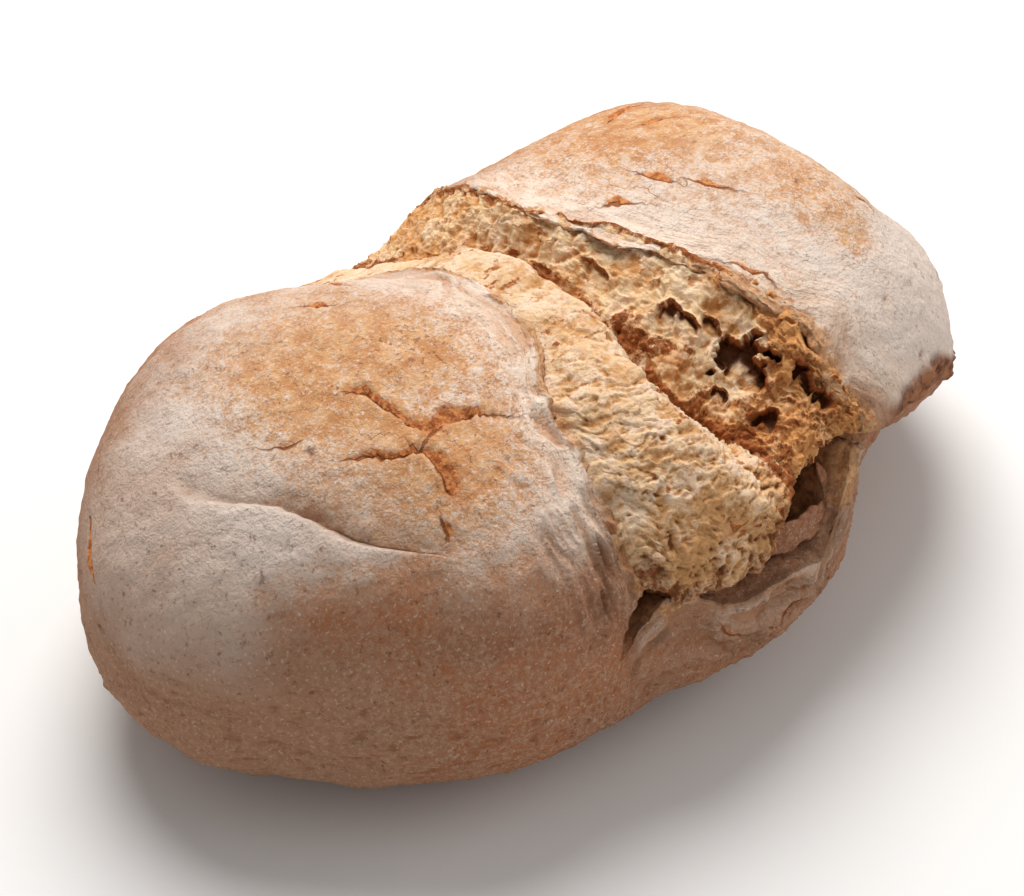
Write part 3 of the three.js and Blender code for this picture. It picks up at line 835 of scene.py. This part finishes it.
mound_relief = (0.75 * lumps + 0.12 * layers(mound_base / 0.9, 1, 133)
                + busy * (0.45 * folds + 0.4 * coarse + 0.2 * fibres + 0.16 * curls + 0.75 * wide_flakes
                          + 0.35 * thin_flakes)
                + 0.6 * np.maximum(torn_low, torn_right) * (shreds - 0.5))
mound_relief = mound_relief * mound_shown * from_crust
mound_spots = settle(mound_base + grid_normals(mound_base) * mound_relief[..., None])
print("relief of the mound, in mm:", mound_relief.min().round(1), "to", mound_relief.max().round(1))

# %% The mound's colours: painted shade in pores, golden hollows, the valley side and the lower end; toasted flecks
mound_hollow = smoothed(mound_relief, 6) - mound_relief
flecks = step(0.36, 0.62, noise(mound_bent / np.array([2.0, 1.0, 1.0]), 127))
flecks = flecks * step(-0.1, 0.5, noise(mound_base / 7, 128))
# painted shade: golder and browner on the lower front, darker at the lower end, browner on the valley side
low_front = 1 - step(8, 52, mound_angle + 0.6 * waving)
last = 1 - step(2, 8, mound_angle - gap_top(mound_x) + 4 * noise(mound_base / 2.6, 130))
valley_side = step(0.88, 0.99, mound_t + 0.05 * noise(mound_base / 2, 129))
# painted shade: darker in hollows and at the lower end; golder in hollows, toward the valley and low in front
mound_looks = {
    "painted_shade": np.clip(1.5 * np.clip(mound_hollow - 0.2, 0, 1) + 0.5 * last, 0, 1),
    "gold_and_shade": np.clip(0.2 + 0.45 * noise(mound_base / 6, 125) + 0.8 * np.clip(mound_hollow / 0.45, 0, 1)
                    + 0.25 * step(0.8, 1, mound_t) + 0.5 * low_front, 0, 1),
    "toasted": np.clip(0.7 * flecks + 0.25 * busy * wide_edges + 0.6 * valley_side + 0.35 * last
                       + 0.25 * low_front * wide_edges, 0, 1),
}
mound = bag("burst_crumb", mound_spots, mound_looks)

# %% [markdown]
# ## The torn face
# Under the far lip the crumb tore along its bubbles. At the back the face is rough and flaky, towards
# the front it has round bubbles and a few deep caves, and there the side under the lip hangs in
# threads. Boolean spheres could cut the bubbles, but thousands of cuts are slow and ragged, while the
# distance to the nearest of many random centres gives every bubble its bowl and its thin walls at once.

# %% The face's shape
def face_height(t, angle):
    """The climb from the valley to just under the lip: fast at first, as t to the power 0.85."""
    opened = through(TEAR_OPEN, angle)
    under_lip = through(LIP_FLARE, angle) + mix(0.5, 0.25, step(66, 92, angle))
    climb = mix(-through(VALLEY_DEPTH, angle), under_lip, np.clip(t, 0, 1) ** 0.85)
    return opened * climb - 24 * np.maximum(-t, 0) - 30 * np.maximum(t - 1, 0) - 4 * step(160, 174, angle)


PAST_LIP = 1.15  # the face runs on below the lip by this share of its width
face_x, face_angle, face_out, face_t, face_shown = slab(
    lambda angle: through(VALLEY, angle) - 1, far_edge, PAST_LIP, face_height)
face_base = place(face_x, face_angle, face_out)
face_arc = face_angle * MM_PER_DEGREE
print("face grid:", face_base.shape)

# %% Caves: (x, angle), reach in mm along the loaf and round it, depth in mm
CAVES = [
    ((21.2, 74.2), 2.9, 2.9, 2.4), ((23.8, 70), 2.0, 4.2, 2.4), ((27.8, 66), 1.8, 3.8, 1.8),
    ((27.6, 54.5), 7.0, 9.2, 5.6), ((37.0, 42.5), 3.4, 5.5, 4.0), ((25.5, 40.5), 3.6, 4.6, 4.2),
    ((38.8, 36), 3.2, 3.8, 3.4), ((17, 88), 1.8, 3.4, 1.5), ((20.5, 54), 2.4, 3.4, 2.4),
]
cave, cave_rim = np.zeros(face_x.shape), np.zeros(face_x.shape)
wobble = (0.32 * noise(face_base / 3.6, 131) + 0.18 * noise(face_base / 1.5, 132)
          + 0.08 * noise(face_base / 0.8, 133))
for (x0, angle0), reach_x, reach_round, depth in CAVES:
    # deep towards the lip and the back, shallow towards the valley, and steepest at the lip
    towards_lip = (face_x - x0) / reach_x
    towards_back = (face_angle - angle0) * MM_PER_DEGREE / reach_round
    away = np.hypot(towards_lip, towards_back) + wobble
    inward = mix(0.3, 1, step(0.0, 0.6, np.maximum(towards_lip, towards_back)))
    brink = mix(0.35, 0.8, step(-0.5, 0.4, towards_lip))
    cave = np.maximum(cave, depth * inward * (1 - step(brink, 1.0, away)))
    cave_rim = np.maximum(cave_rim, bell(away - 1.06, 0.16) * step(-0.2, 0.6, towards_lip))
print("deepest cave:", cave.max().round(1), "mm")

# %% Zones of the face, each a number from 0 to 1
front = 1 - step(60, 94, face_angle)
back = step(86, 104, face_angle)
shade = 1 - step(34, 56, face_angle + 5 * noise(face_base / 6, 134))
low_edge = 1 - step(0.04, 0.3, face_t + 0.2 * noise(face_base / 3.5, 165))
top_edge = step(0.9, 0.98, face_t + 0.06 * noise(face_base / 2.5, 166))
inside_lip = 1 - step(0.97, 1.02, face_t)
rightmost = step(0.6, 0.85, face_t + 0.15 * noise(face_base / 5, 167)) * (1 - step(60, 80, face_angle))
ragged = np.clip(0.1 + low_edge + 0.4 * top_edge + 0.6 * shade + 0.3 * back, 0, 1)
fibrous = np.clip(rightmost + 0.8 * shade, 0, 1)
print("share of the face that hangs in threads:", (fibrous > 0.5).mean().round(3))

# %% The face's relief
face_bent = shaken(face_base, 2.4, 0.9, 137)
big_bowls, big_walls = torn_bubbles(shaken(face_bent, 1.0, 0.4, 139), 5.6, 141, 0.6)
mid_bowls, _ = torn_bubbles(face_bent, 2.7, 145, 0.4)
inside_big = np.clip(2.5 * big_bowls * front * (1 - low_edge), 0, 1)
inside_cave = np.clip(cave / 2, 0, 1)
threads = strands(face_bent, face_arc, face_x, 151, 0.9, 4.5)
drawn = strands(face_bent, face_x, face_arc, 161, 2.0, 3.5)
clumps = crests(face_bent / 3.0, 4, 171)
face_flakes, flake_edges = flakes(face_bent, -face_x - 0.5 * face_arc, 3.6, 175)
face_relief = (0.8 * layers(face_base / 6, 3, 155) - 1.5 * big_bowls * front * (1 - low_edge)
               + 0.35 * big_walls * front - 0.55 * mid_bowls * (1 - inside_big) * (1 - fibrous)
               + 0.4 * drawn * (1 - 0.6 * inside_cave) + 0.75 * fibrous * threads + 0.15 * threads
               + (0.12 + 0.6 * ragged) * (clumps - 0.5) * (1 - 0.8 * inside_cave)
               + 0.5 * face_flakes * (1 - inside_cave)
               + 0.1 * layers(face_base / 0.9, 1, 173)
               - cave + 0.7 * cave_rim)
face_relief = face_relief * face_shown * inside_lip
face_spots = settle(face_base + grid_normals(face_base) * face_relief[..., None])
print("relief of the face, in mm:", face_relief.min().round(1), "to", face_relief.max().round(1))

# %% The face's colours, with painted shade: brown where a rim faces down, along both edges and deep in the caves
face_hollow = smoothed(face_relief, 7) - face_relief
column_width = np.linalg.norm(np.gradient(face_base, axis=1), axis=-1)
# painted shade: brown on the slopes that face down, away from the light above
facing_down = smoothed(np.gradient(face_relief, axis=1) / np.maximum(column_width, 0.08), 1) * face_shown
# painted shadow: a dark line just under the lip, at the back
back_line = step(0.88, 0.97, face_t + 0.05 * noise(face_base / 1.5, 168)) * step(62, 78, face_angle)
# painted shade on the valley floor
valley_floor = (1 - step(0.03, 0.24, face_t + 0.08 * clumps)) * step(98, 78, face_angle)
# painted shade: darker in caves, hollows and valley floor; golder in hollows, shaded threads and low edge;
# browner facing down, along edges, on cave rims
face_looks = {
    "painted_shade": np.clip((cave - 2.0) / 3.0 + 0.9 * np.clip(face_hollow - 0.35, 0, 1) + 0.85 * valley_floor, 0, 1),
    "gold_and_shade": np.clip(0.22 + 0.4 * noise(face_base / 6, 157) + 0.7 * fibrous + 0.2 * back
                    + 0.6 * np.clip(face_hollow / 0.7, 0, 1) + 0.4 * low_edge, 0, 1),
    "toasted": np.clip(0.6 * np.clip(facing_down * 0.7 - 0.3, 0, 1) + 0.4 * flake_edges + 0.8 * low_edge
                       + 0.7 * back_line + 0.35 * fibrous * step(-0.2, 0.4, threads) + 0.4 * cave_rim
                       + 0.25 * noise(face_base / 5, 158), 0, 1),
}
face = bag("torn_face", face_spots, face_looks)

# %% [markdown]
# ## Flaps in the gap
# When the burst lifted, the skin under it tore into a few curled strips, which hang in the gap. Each is
# a flattened tube carried along a short path: the path is a curve through points inside the gap, and
# the section is an oval, bent into an arc, whose width swells in the middle and closes at both ends.

# %% Curled strips of crust
STRIP_ROWS, STRIP_COLUMNS, STRIP_THICKNESS = 150, 96, 1.6


def strip(name, path, width, curl, seed):
    """A strip along a path of x, angle and height points: the section at share t is an oval, width
    times the square root of sin(pi t) across and STRIP_THICKNESS high, lifted by curl times the
    square of the way across."""
    path = np.array(path, float)
    t = np.linspace(0.004, 0.996, STRIP_ROWS)[:, None]
    marks = np.linspace(0, 1, len(path))
    x, angle, height = (through(list(zip(marks, path[:, i])), t) for i in range(3))
    spine, above = place(x, angle, height)[:, 0], place(x, angle, height + 1)[:, 0]
    along, up = unit(np.gradient(spine, axis=0)), unit(above - spine)
    side = unit(np.cross(along, up))
    lift = np.cross(side, along)
    phi = np.linspace(0, 2 * np.pi, STRIP_COLUMNS, endpoint=False)[None, :]
    swell = np.sqrt(np.sin(np.pi * t)) * (1 + 0.25 * noise(spots_at(6 * t, 0), seed))
    across = width / 2 * swell * np.cos(phi)
    high = STRIP_THICKNESS / 2 * swell * np.sin(phi) + curl * (across / width) ** 2
    spots = spine[:, None] + across[..., None] * side[:, None] + high[..., None] * lift[:, None]
    ridged = 0.35 * noise(spots_at(across / 1.1, 5 * t, high / 3), seed + 1)
    rough = ridged + 0.45 * layers(spots / 3, 3, seed + 2)
    spots = settle(spots + grid_normals(spots) * (rough * swell)[..., None])
    edge = np.abs(np.cos(phi)) ** 6
    looks = dict.fromkeys(crust_looks, 0.0)
    looks.update(flour=0.15 + 0.5 * noise(spots / 4, seed + 5) - 0.3 * edge, low=0.9, hollow=0.5, ruddy=0.4,
                 crease=0.4 * edge, crack_away=9.0, stretch=0.8, from_edge=across, along_edge=40 * t)
    return bag(name, spots, looks)


strips = [
    strip("curled_strip_1", [(8, 12, -8), (16, 10, -6), (24, 9, -4.5), (31, 8, -4), (36, 9, -4.5)],
          8, 2.5, 201),
    strip("curled_strip_2", [(36, 20, -6), (37, 14, -5), (36.5, 8, -4.5), (34, 4, -5)], 3.5, 1.2, 211),
    strip("curled_strip_3", [(4, 4, -7), (-3, 4, -5), (-9, 6, -5), (-15, 9, -6)], 4, 1.5, 221),
]

# %% [markdown]
# ## Finishes
# Flour, baked crust and crumb all scatter light with no gloss. A painted or scanned colour map could
# be laid over the loaf, but it would carry its own light and stretch at the tear. The numbers stored
# on the vertices say where the crust is floured, toasted or cracked, and where shade is painted into
# grooves, hollows and the low sides; fine noise breaks up their borders. A small class keeps each
# material as readable as a sum: every method adds a few nodes.

# %% Shader helpers
def linear(red, green, blue):
    """A screen colour, 0 to 255, as the linear colour that a shader takes."""
    c = np.array([red, green, blue]) / 255
    return (*np.where(c <= 0.04045, c / 12.92, ((c + 0.055) / 1.055) ** 2.4), 1.0)


class Finish:
    """A matt material under construction: each method adds nodes and gives their output."""

    def __init__(self, name, roughness):
        """Starts a material of one roughness, nearly without gloss, whose noises sit on the piece."""
        self.material = bpy.data.materials.new(name)
        self.material.use_nodes = True
        self.nodes, self.links = self.material.node_tree.nodes, self.material.node_tree.links
        self.shader = self.nodes["Principled BSDF"]
        self.shader.inputs["Roughness"].default_value = roughness
        self.shader.inputs["Specular IOR Level"].default_value = 0.12
        self.place = self.nodes.new("ShaderNodeTexCoord").outputs["Object"]

    def join(self, value, socket):
        """Links another node's output to the socket, or sets a plain number or colour on it."""
        if isinstance(value, bpy.types.NodeSocket):
            self.links.new(value, socket)
        else:
            socket.default_value = value

    def look(self, name):
        """The number of that name stored on the vertices."""
        node = self.nodes.new("ShaderNodeAttribute")
        node.attribute_name = name
        return node.outputs["Fac"]

    def noise(self, size_mm, detail=4, roughness=0.6):
        """Cloudy noise from 0 to 1, its largest lumps size_mm across."""
        node = self.nodes.new("ShaderNodeTexNoise")
        self.links.new(self.place, node.inputs["Vector"])
        node.inputs["Scale"].default_value = 1 / (size_mm * MM)
        node.inputs["Detail"].default_value = detail
        node.inputs["Roughness"].default_value = roughness
        return node.outputs["Fac"]

    def stretched(self, width_mm, length_mm):
        """Noise drawn out along the torn edge, read from the two distances stored on the crust."""
        node = self.nodes.new("ShaderNodeTexNoise")
        spot = self.nodes.new("ShaderNodeCombineXYZ")
        self.links.new(self.math("DIVIDE", self.look("from_edge"), width_mm), spot.inputs[0])
        self.links.new(self.math("DIVIDE", self.look("along_edge"), length_mm), spot.inputs[1])
        self.links.new(spot.outputs[0], node.inputs["Vector"])
        node.inputs["Scale"].default_value = 1
        node.inputs["Detail"].default_value = 3
        return node.outputs["Fac"]

    def math(self, operation, a, b):
        """One sum on two values, as the operation's name says."""
        node = self.nodes.new("ShaderNodeMath")
        node.operation = operation
        self.join(a, node.inputs[0])
        self.join(b, node.inputs[1])
        return node.outputs[0]

    def sum(self, *values):
        """All the values added up."""
        total = values[0]
        for value in values[1:]:
            total = self.math("ADD", total, value)
        return total

    def scaled(self, value, factor):
        """The value times the factor."""
        return self.math("MULTIPLY", value, factor)

    def opposite(self, value):
        """One minus the value."""
        return self.math("SUBTRACT", 1.0, value)

    def between(self, value, low, high):
        """0 where value is below low, 1 above high, and smooth between them."""
        node = self.nodes.new("ShaderNodeMapRange")
        node.interpolation_type = "SMOOTHSTEP"
        self.join(value, node.inputs["Value"])
        node.inputs["From Min"].default_value = low
        node.inputs["From Max"].default_value = high
        return node.outputs["Result"]

    def blend(self, a, b, factor):
        """The colour a where factor is 0, b where it is 1, and a mixture between them."""
        node = self.nodes.new("ShaderNodeMix")
        node.data_type = "RGBA"
        self.join(factor, node.inputs[0])
        self.join(a, node.inputs[6])
        self.join(b, node.inputs[7])
        return node.outputs[2]

    def bump(self, height, depth_mm, strength, below=None):
        """The normal tilted by a height pattern, on top of another bump if one is given."""
        node = self.nodes.new("ShaderNodeBump")
        node.inputs["Distance"].default_value = depth_mm * MM
        node.inputs["Strength"].default_value = strength
        self.links.new(height, node.inputs["Height"])
        if below is not None:
            self.links.new(below, node.inputs["Normal"])
        return node.outputs["Normal"]

    def finish(self, colour, normal):
        """Joins the colour and the normal to the shader, and gives the material."""
        self.links.new(colour, self.shader.inputs["Base Color"])
        self.links.new(normal, self.shader.inputs["Normal"])
        return self.material


# %% [markdown]
# ## The crust's finish, layer by layer
# A real crust gets its colour in layers: the dough browns, flour lies over it, specks stick to it, and
# where it breaks a paler inside shows. The material is built in the same order, one function to a
# layer, so each can be looked at and changed alone.

# %% Baked crust
TAN = linear(200, 156, 122), linear(219, 182, 148)
OCHRE = linear(195, 138, 91), linear(213, 165, 118)
RUDDY = linear(160, 110, 82), linear(174, 114, 80)


def baked(f, sandy, mottle):
    """Tan crust. Ochre takes over where the toasted number plus noise is high, and ruddy brown where
    the low number plus noise is: a dull baked brown that also serves as painted shade low down. Each of
    the three is a blend of two tones."""
    tan = f.blend(*TAN, f.between(mottle, 0.38, 0.62))
    ochre = f.blend(*OCHRE, f.between(mottle, 0.4, 0.6))
    toast = f.sum(f.look("toast"), f.scaled(mottle, 0.6), f.scaled(sandy, 0.4))
    toasted = f.blend(tan, ochre, f.between(toast, 0.6, 1.2))
    ruddy = f.blend(*RUDDY, f.between(f.look("ruddy"), 0.2, 0.8))
    lowness = f.sum(f.look("low"), f.scaled(mottle, 0.4))
    return f.blend(toasted, ruddy, f.between(lowness, 0.2, 1.0))


# %% Flour
FLOUR = linear(223, 208, 197), linear(240, 221, 204)  # away from the tear, and on stretched skin
LOW_FLOUR = linear(172, 130, 103)


def floured(f, colour, sandy, mottle):
    """Flour over the crust, where its stored number plus three sizes of noise is high. It stays off
    the small hollows, which leaves painted shade in them, and is browner low down, where the low zone is
    partly painted shade."""
    fine = f.noise(0.8, 4, 0.68)
    cling = f.sum(f.look("flour"), f.scaled(fine, 2.4), f.scaled(sandy, 1.3), f.scaled(mottle, 1.0),
                  f.scaled(f.look("low"), -0.2), f.scaled(f.look("hollow"), -0.8), 0.45)
    high = f.blend(*FLOUR, f.between(f.look("stretch"), 0.1, 0.7))
    powder = f.blend(high, LOW_FLOUR, f.between(f.look("low"), 0.0, 0.8))
    return f.blend(colour, powder, f.scaled(f.between(cling, 2.35, 3.2), 0.95))


# %% Grains on the crust
def grainy(f, colour):
    """Dark specks, pale grains, pale dust low down, dark crumbs and painted shade in the small hollows,
    one over the other. Each shows where its pattern passes a limit, in an amount that may grow or
    shrink with a number stored on the crust."""
    low, toast = f.look("low"), f.look("toast")
    specks = f.sum(f.noise(1.5, 4, 0.6), f.scaled(f.look("specks"), 0.09))
    grains = (  # pattern, hidden at, full at, amount, colour
        (specks, 0.62, 0.68, f.sum(f.scaled(toast, 0.4), 0.4), linear(142, 92, 58)),
        (f.noise(1.0, 3, 0.6), 0.6, 0.68, f.sum(f.scaled(low, -0.1), 0.45), linear(236, 220, 204)),
        (f.noise(1.5, 5, 0.75), 0.48, 0.64, f.scaled(low, 0.6), linear(196, 160, 132)),
        (f.noise(2.0, 5, 0.75), 0.43, 0.33, f.sum(f.scaled(low, 0.25), 0.5), linear(116, 74, 50)),
        # painted shade in the small hollows, stronger low down
        (f.look("hollow"), 0.6, 1.0, f.sum(f.scaled(low, 0.25), 0.2), linear(132, 86, 58)),
    )
    for pattern, hidden_at, full_at, amount, tone in grains:
        colour = f.blend(colour, tone, f.scaled(f.between(pattern, hidden_at, full_at), amount))
    return colour


# %% Cracks and torn skin
CREASE_SHADE = linear(156, 124, 102)
BROKEN_SLOPE = linear(214, 142, 86), linear(164, 92, 50)
CRACK_LINE = linear(146, 82, 46)
FRAYED_SKIN = linear(216, 170, 124), linear(190, 128, 80)
UNDER_LOBE = linear(166, 112, 78), linear(104, 62, 44)
INSIDE_GAP = linear(172, 122, 82), linear(96, 60, 38)


def cracked(f, colour, sandy):
    """A broken slope from the crack to the stored width, and a dark line where the stored distance,
    roughened by noise, passes zero. Gives the colour and the line."""
    colour = f.blend(colour, CREASE_SHADE, f.scaled(f.look("crease"), 0.5))
    width = f.look("crack_width")
    away = f.sum(f.look("crack_away"), f.scaled(f.noise(1.3, 4, 0.7), 1.2), -0.6)
    over_width = f.math("DIVIDE", away, f.math("MAXIMUM", width, 0.05))
    slope = f.scaled(f.opposite(f.between(over_width, 0.7, 1.1)), f.between(away, -0.5, -0.2))
    broken = f.scaled(slope, f.between(width, 0.6, 1.4))
    exposed = f.blend(*BROKEN_SLOPE, f.between(sandy, 0.4, 0.6))
    line = f.opposite(f.between(f.math("ABSOLUTE", away, 0.0), 0.12, 0.5))
    line = f.math("MAXIMUM", f.scaled(line, f.between(width, 0.25, 1.0)), f.look("prick"))
    return f.blend(f.blend(colour, exposed, broken), CRACK_LINE, f.scaled(line, 0.85)), line


def torn_skin(f, colour, sandy, mottle):
    """Paler broken skin beside the tear, darker skin under the far lobe, and crumb inside the gap,
    dark partly as painted shade, each where its stored number says."""
    frayed = f.blend(*FRAYED_SKIN, f.between(sandy, 0.42, 0.6))
    colour = f.blend(colour, frayed, f.scaled(f.between(f.look("frayed"), 0.1, 0.6), 0.85))
    ledge = f.blend(*UNDER_LOBE, f.between(mottle, 0.42, 0.58))
    colour = f.blend(colour, ledge, f.scaled(f.look("under_lobe"), 0.9))
    # inside the gap and under the turned edges: dark crumb, partly painted shade
    inner = f.blend(*INSIDE_GAP, f.between(mottle, 0.38, 0.62))
    return f.blend(colour, inner, f.between(f.look("inside"), 0.15, 0.6))


# %% The whole crust
# painted shade in the grooves between wrinkles
GROOVE_SHADE = linear(206, 150, 106), linear(132, 90, 64)  # high up, and low down


def crust_finish():
    """All layers, from the baked crust up, with painted shade in the grooves between the stretch
    wrinkles; the bumps are grains, wrinkles, cracks and mottling, one on top of the other."""
    f = Finish("floured crust", 0.88)
    sandy, mottle = f.noise(1.5, 4, 0.6), f.noise(5, 6, 0.65)
    colour = grainy(f, floured(f, baked(f, sandy, mottle), sandy, mottle))
    colour, line = cracked(f, colour, sandy)
    colour = torn_skin(f, colour, sandy, mottle)
    wrinkles = f.stretched(1.5, 6)
    # painted shade in the troughs of the fine wrinkles and in the grooves, darker low down
    shade = f.math("MAXIMUM", f.scaled(f.between(wrinkles, 0.46, 0.3), f.scaled(f.look("stretch"), 0.6)),
                   f.scaled(f.look("groove"), 0.85))
    colour = f.blend(colour, f.blend(*GROOVE_SHADE, f.look("low")), shade)
    grains = f.bump(f.sum(f.noise(1.1, 4, 0.72), f.scaled(f.noise(2.6, 3, 0.6), 1.2)), 0.9, 0.8)
    pulled = f.bump(f.scaled(wrinkles, f.look("stretch")), 2.0, 0.8, grains)
    creviced = f.bump(f.opposite(line), 0.9, 0.8, pulled)
    return f.finish(colour, f.bump(mottle, 1.4, 0.5, creviced))


crust_look = crust_finish()
for piece in (crust, *strips):
    piece.data.materials.append(crust_look)
print("nodes of the crust's finish:", len(crust_look.node_tree.nodes))

# %% [markdown]
# ## Torn crumb
# Fresh crumb is soft and lets light in: the pores glow rather than turn black, and that warm colour is
# painted into them as shade. A flat cream would look like plaster, so some light runs on below the
# surface, and gold and brown follow the relief, partly as the thin strands dried and toasted first,
# partly as painted shade in the hollows and under the rims.

# %% Crumb: cream, pale, gold, brown and the colour deep in a pore; the last three also serve as painted shade
MOUND_TONES = (linear(235, 200, 160), linear(240, 212, 184), linear(212, 160, 108), linear(168, 98, 54),
               linear(128, 74, 42))
FACE_TONES = (linear(242, 208, 164), linear(244, 216, 184), linear(220, 159, 100), linear(160, 96, 54),
              linear(98, 48, 26))


def crumb_finish(name, cream, pale, gold_and_shade, brown, painted_shade):
    """Cream crumb with paler patches, golden where the strands dried and as painted shade in the
    hollows, brown where they toasted and as painted shade under rims and edges, and deep in the pores
    a painted shade in the colour of light that has passed through crumb. Each takes over where its
    stored number plus noise passes a limit."""
    f = Finish(name, 0.9)
    f.shader.inputs["Subsurface Weight"].default_value = 0.3
    f.shader.inputs["Subsurface Radius"].default_value = (1.0, 0.55, 0.3)
    f.shader.inputs["Subsurface Scale"].default_value = 1.2 * MM
    dust, speckle, patches = f.noise(0.5, 3, 0.6), f.noise(1.3, 4, 0.65), f.noise(6, 4, 0.6)
    ground = f.blend(cream, pale, f.between(patches, 0.42, 0.6))
    golden = f.blend(ground, gold_and_shade, f.between(f.sum(f.look("gold_and_shade"), f.scaled(speckle, 1.2)), 0.75, 1.45))
    burnt = f.sum(f.look("toasted"), f.scaled(speckle, 1.6), f.scaled(dust, 0.8))
    toasted = f.blend(golden, brown, f.between(burnt, 1.45, 1.95))
    depth = f.between(f.sum(f.look("painted_shade"), f.scaled(speckle, 0.4)), 0.3, 1.0)
    colour = f.blend(toasted, painted_shade, f.scaled(depth, 0.9))
    fine = f.bump(dust, 0.5, 0.8)
    return f.finish(colour, f.bump(speckle, 1.2, 0.7, fine))


mound.data.materials.append(crumb_finish("mound crumb", *MOUND_TONES))
face.data.materials.append(crumb_finish("torn face crumb", *FACE_TONES))
print("materials:", [m.name for m in bpy.data.materials])

# %% [markdown]
# ## One loaf
# The pieces belong together: all ride the CAD part's one body, and the CAD part's own loaf is hidden.

# %% Tie the pieces to the frame
for piece in (crust, mound, face, *strips):
    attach(piece, "root")
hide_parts("loaf")
print("pieces of the loaf:", 3 + len(strips))

# %% [markdown]
# ## A plain table in soft light
# One large soft light stands above and behind the loaf, so that the top is bright and the low front
# falls into shade, as on a baker's shelf under a window. A small one would draw hard shadows in every
# pore. The pale floor and the world fill the shadows.

# %% Floor
FLOOR = 3.0  # half its width, in metres; the lights are placed in metres too
corners = [(x * FLOOR, y * FLOOR, 0) for x, y in ((-1, -1), (1, -1), (1, 1), (-1, 1))]
floor_mesh = bpy.data.meshes.new("floor")
floor_mesh.from_pydata(corners, [], [(0, 1, 2, 3)])
floor = bpy.data.objects.new("floor", floor_mesh)
bpy.context.scene.collection.objects.link(floor)
table = Finish("pale table", 0.9)
table.shader.inputs["Base Color"].default_value = (0.86, 0.86, 0.86, 1)
floor_mesh.materials.append(table.material)
print("floor:", 2 * FLOOR, "m wide")

# %% Lights and world
LOAF_MIDDLE = Vector((0, 0, 0.04))
WARM_WHITE = (1.0, 0.97, 0.94)


def area_light(name, spot, size, watts):
    """A round soft light at a spot, turned towards the middle of the loaf."""
    data = bpy.data.lights.new(name, "AREA")
    data.shape, data.size, data.energy, data.color = "DISK", size, watts, WARM_WHITE
    light = bpy.data.objects.new(name, data)
    light.location = spot
    light.rotation_euler = (LOAF_MIDDLE - Vector(spot)).to_track_quat("-Z", "Y").to_euler()
    bpy.context.scene.collection.objects.link(light)


area_light("window", (0.25, 0.45, 0.95), 0.8, 13.2)
area_light("right fill", (1.0, -0.7, 0.7), 1.0, 3.8)
world = bpy.data.worlds.new("pale room")
world.use_nodes = True
background = world.node_tree.nodes["Background"]
background.inputs["Color"].default_value = (1.0, 0.985, 0.96, 1)
background.inputs["Strength"].default_value = 0.35
bpy.context.scene.world = world
bpy.context.scene.view_settings.view_transform = "Standard"
print("lights:", [light.name for light in bpy.data.lights])

# %% [markdown]
# ## The camera
# The camera looks down on the loaf from the near lobe's side, through a long lens, so the loaf keeps
# its true proportions.

# %% Camera
CAMERA_SIDE, CAMERA_UP = np.radians(-40.5), np.radians(42)
CAMERA_AWAY = 870  # in mm, like the aim
CAMERA_AIM = np.array([-6, ACROSS, 42 - FLAT_CUT])
LENS = 122.3
level = np.array([np.sin(CAMERA_SIDE), -np.cos(CAMERA_SIDE), 0])
to_camera = level * np.cos(CAMERA_UP) + [0, 0, np.sin(CAMERA_UP)]
right = np.array([np.cos(CAMERA_SIDE), np.sin(CAMERA_SIDE), 0])
camera_data = bpy.data.cameras.new("camera")
camera_data.lens = LENS
camera_data.clip_start = 0.05
camera = bpy.data.objects.new("camera", camera_data)
turn = Matrix(np.stack([right, np.cross(to_camera, right), to_camera], axis=1).tolist()).to_4x4()
camera.matrix_world = Matrix.Translation(Vector((CAMERA_AIM + to_camera * CAMERA_AWAY) * MM)) @ turn
bpy.context.scene.collection.objects.link(camera)
bpy.context.scene.camera = camera
print("camera stands at", (camera.matrix_world.translation / MM).to_tuple(0), "mm")
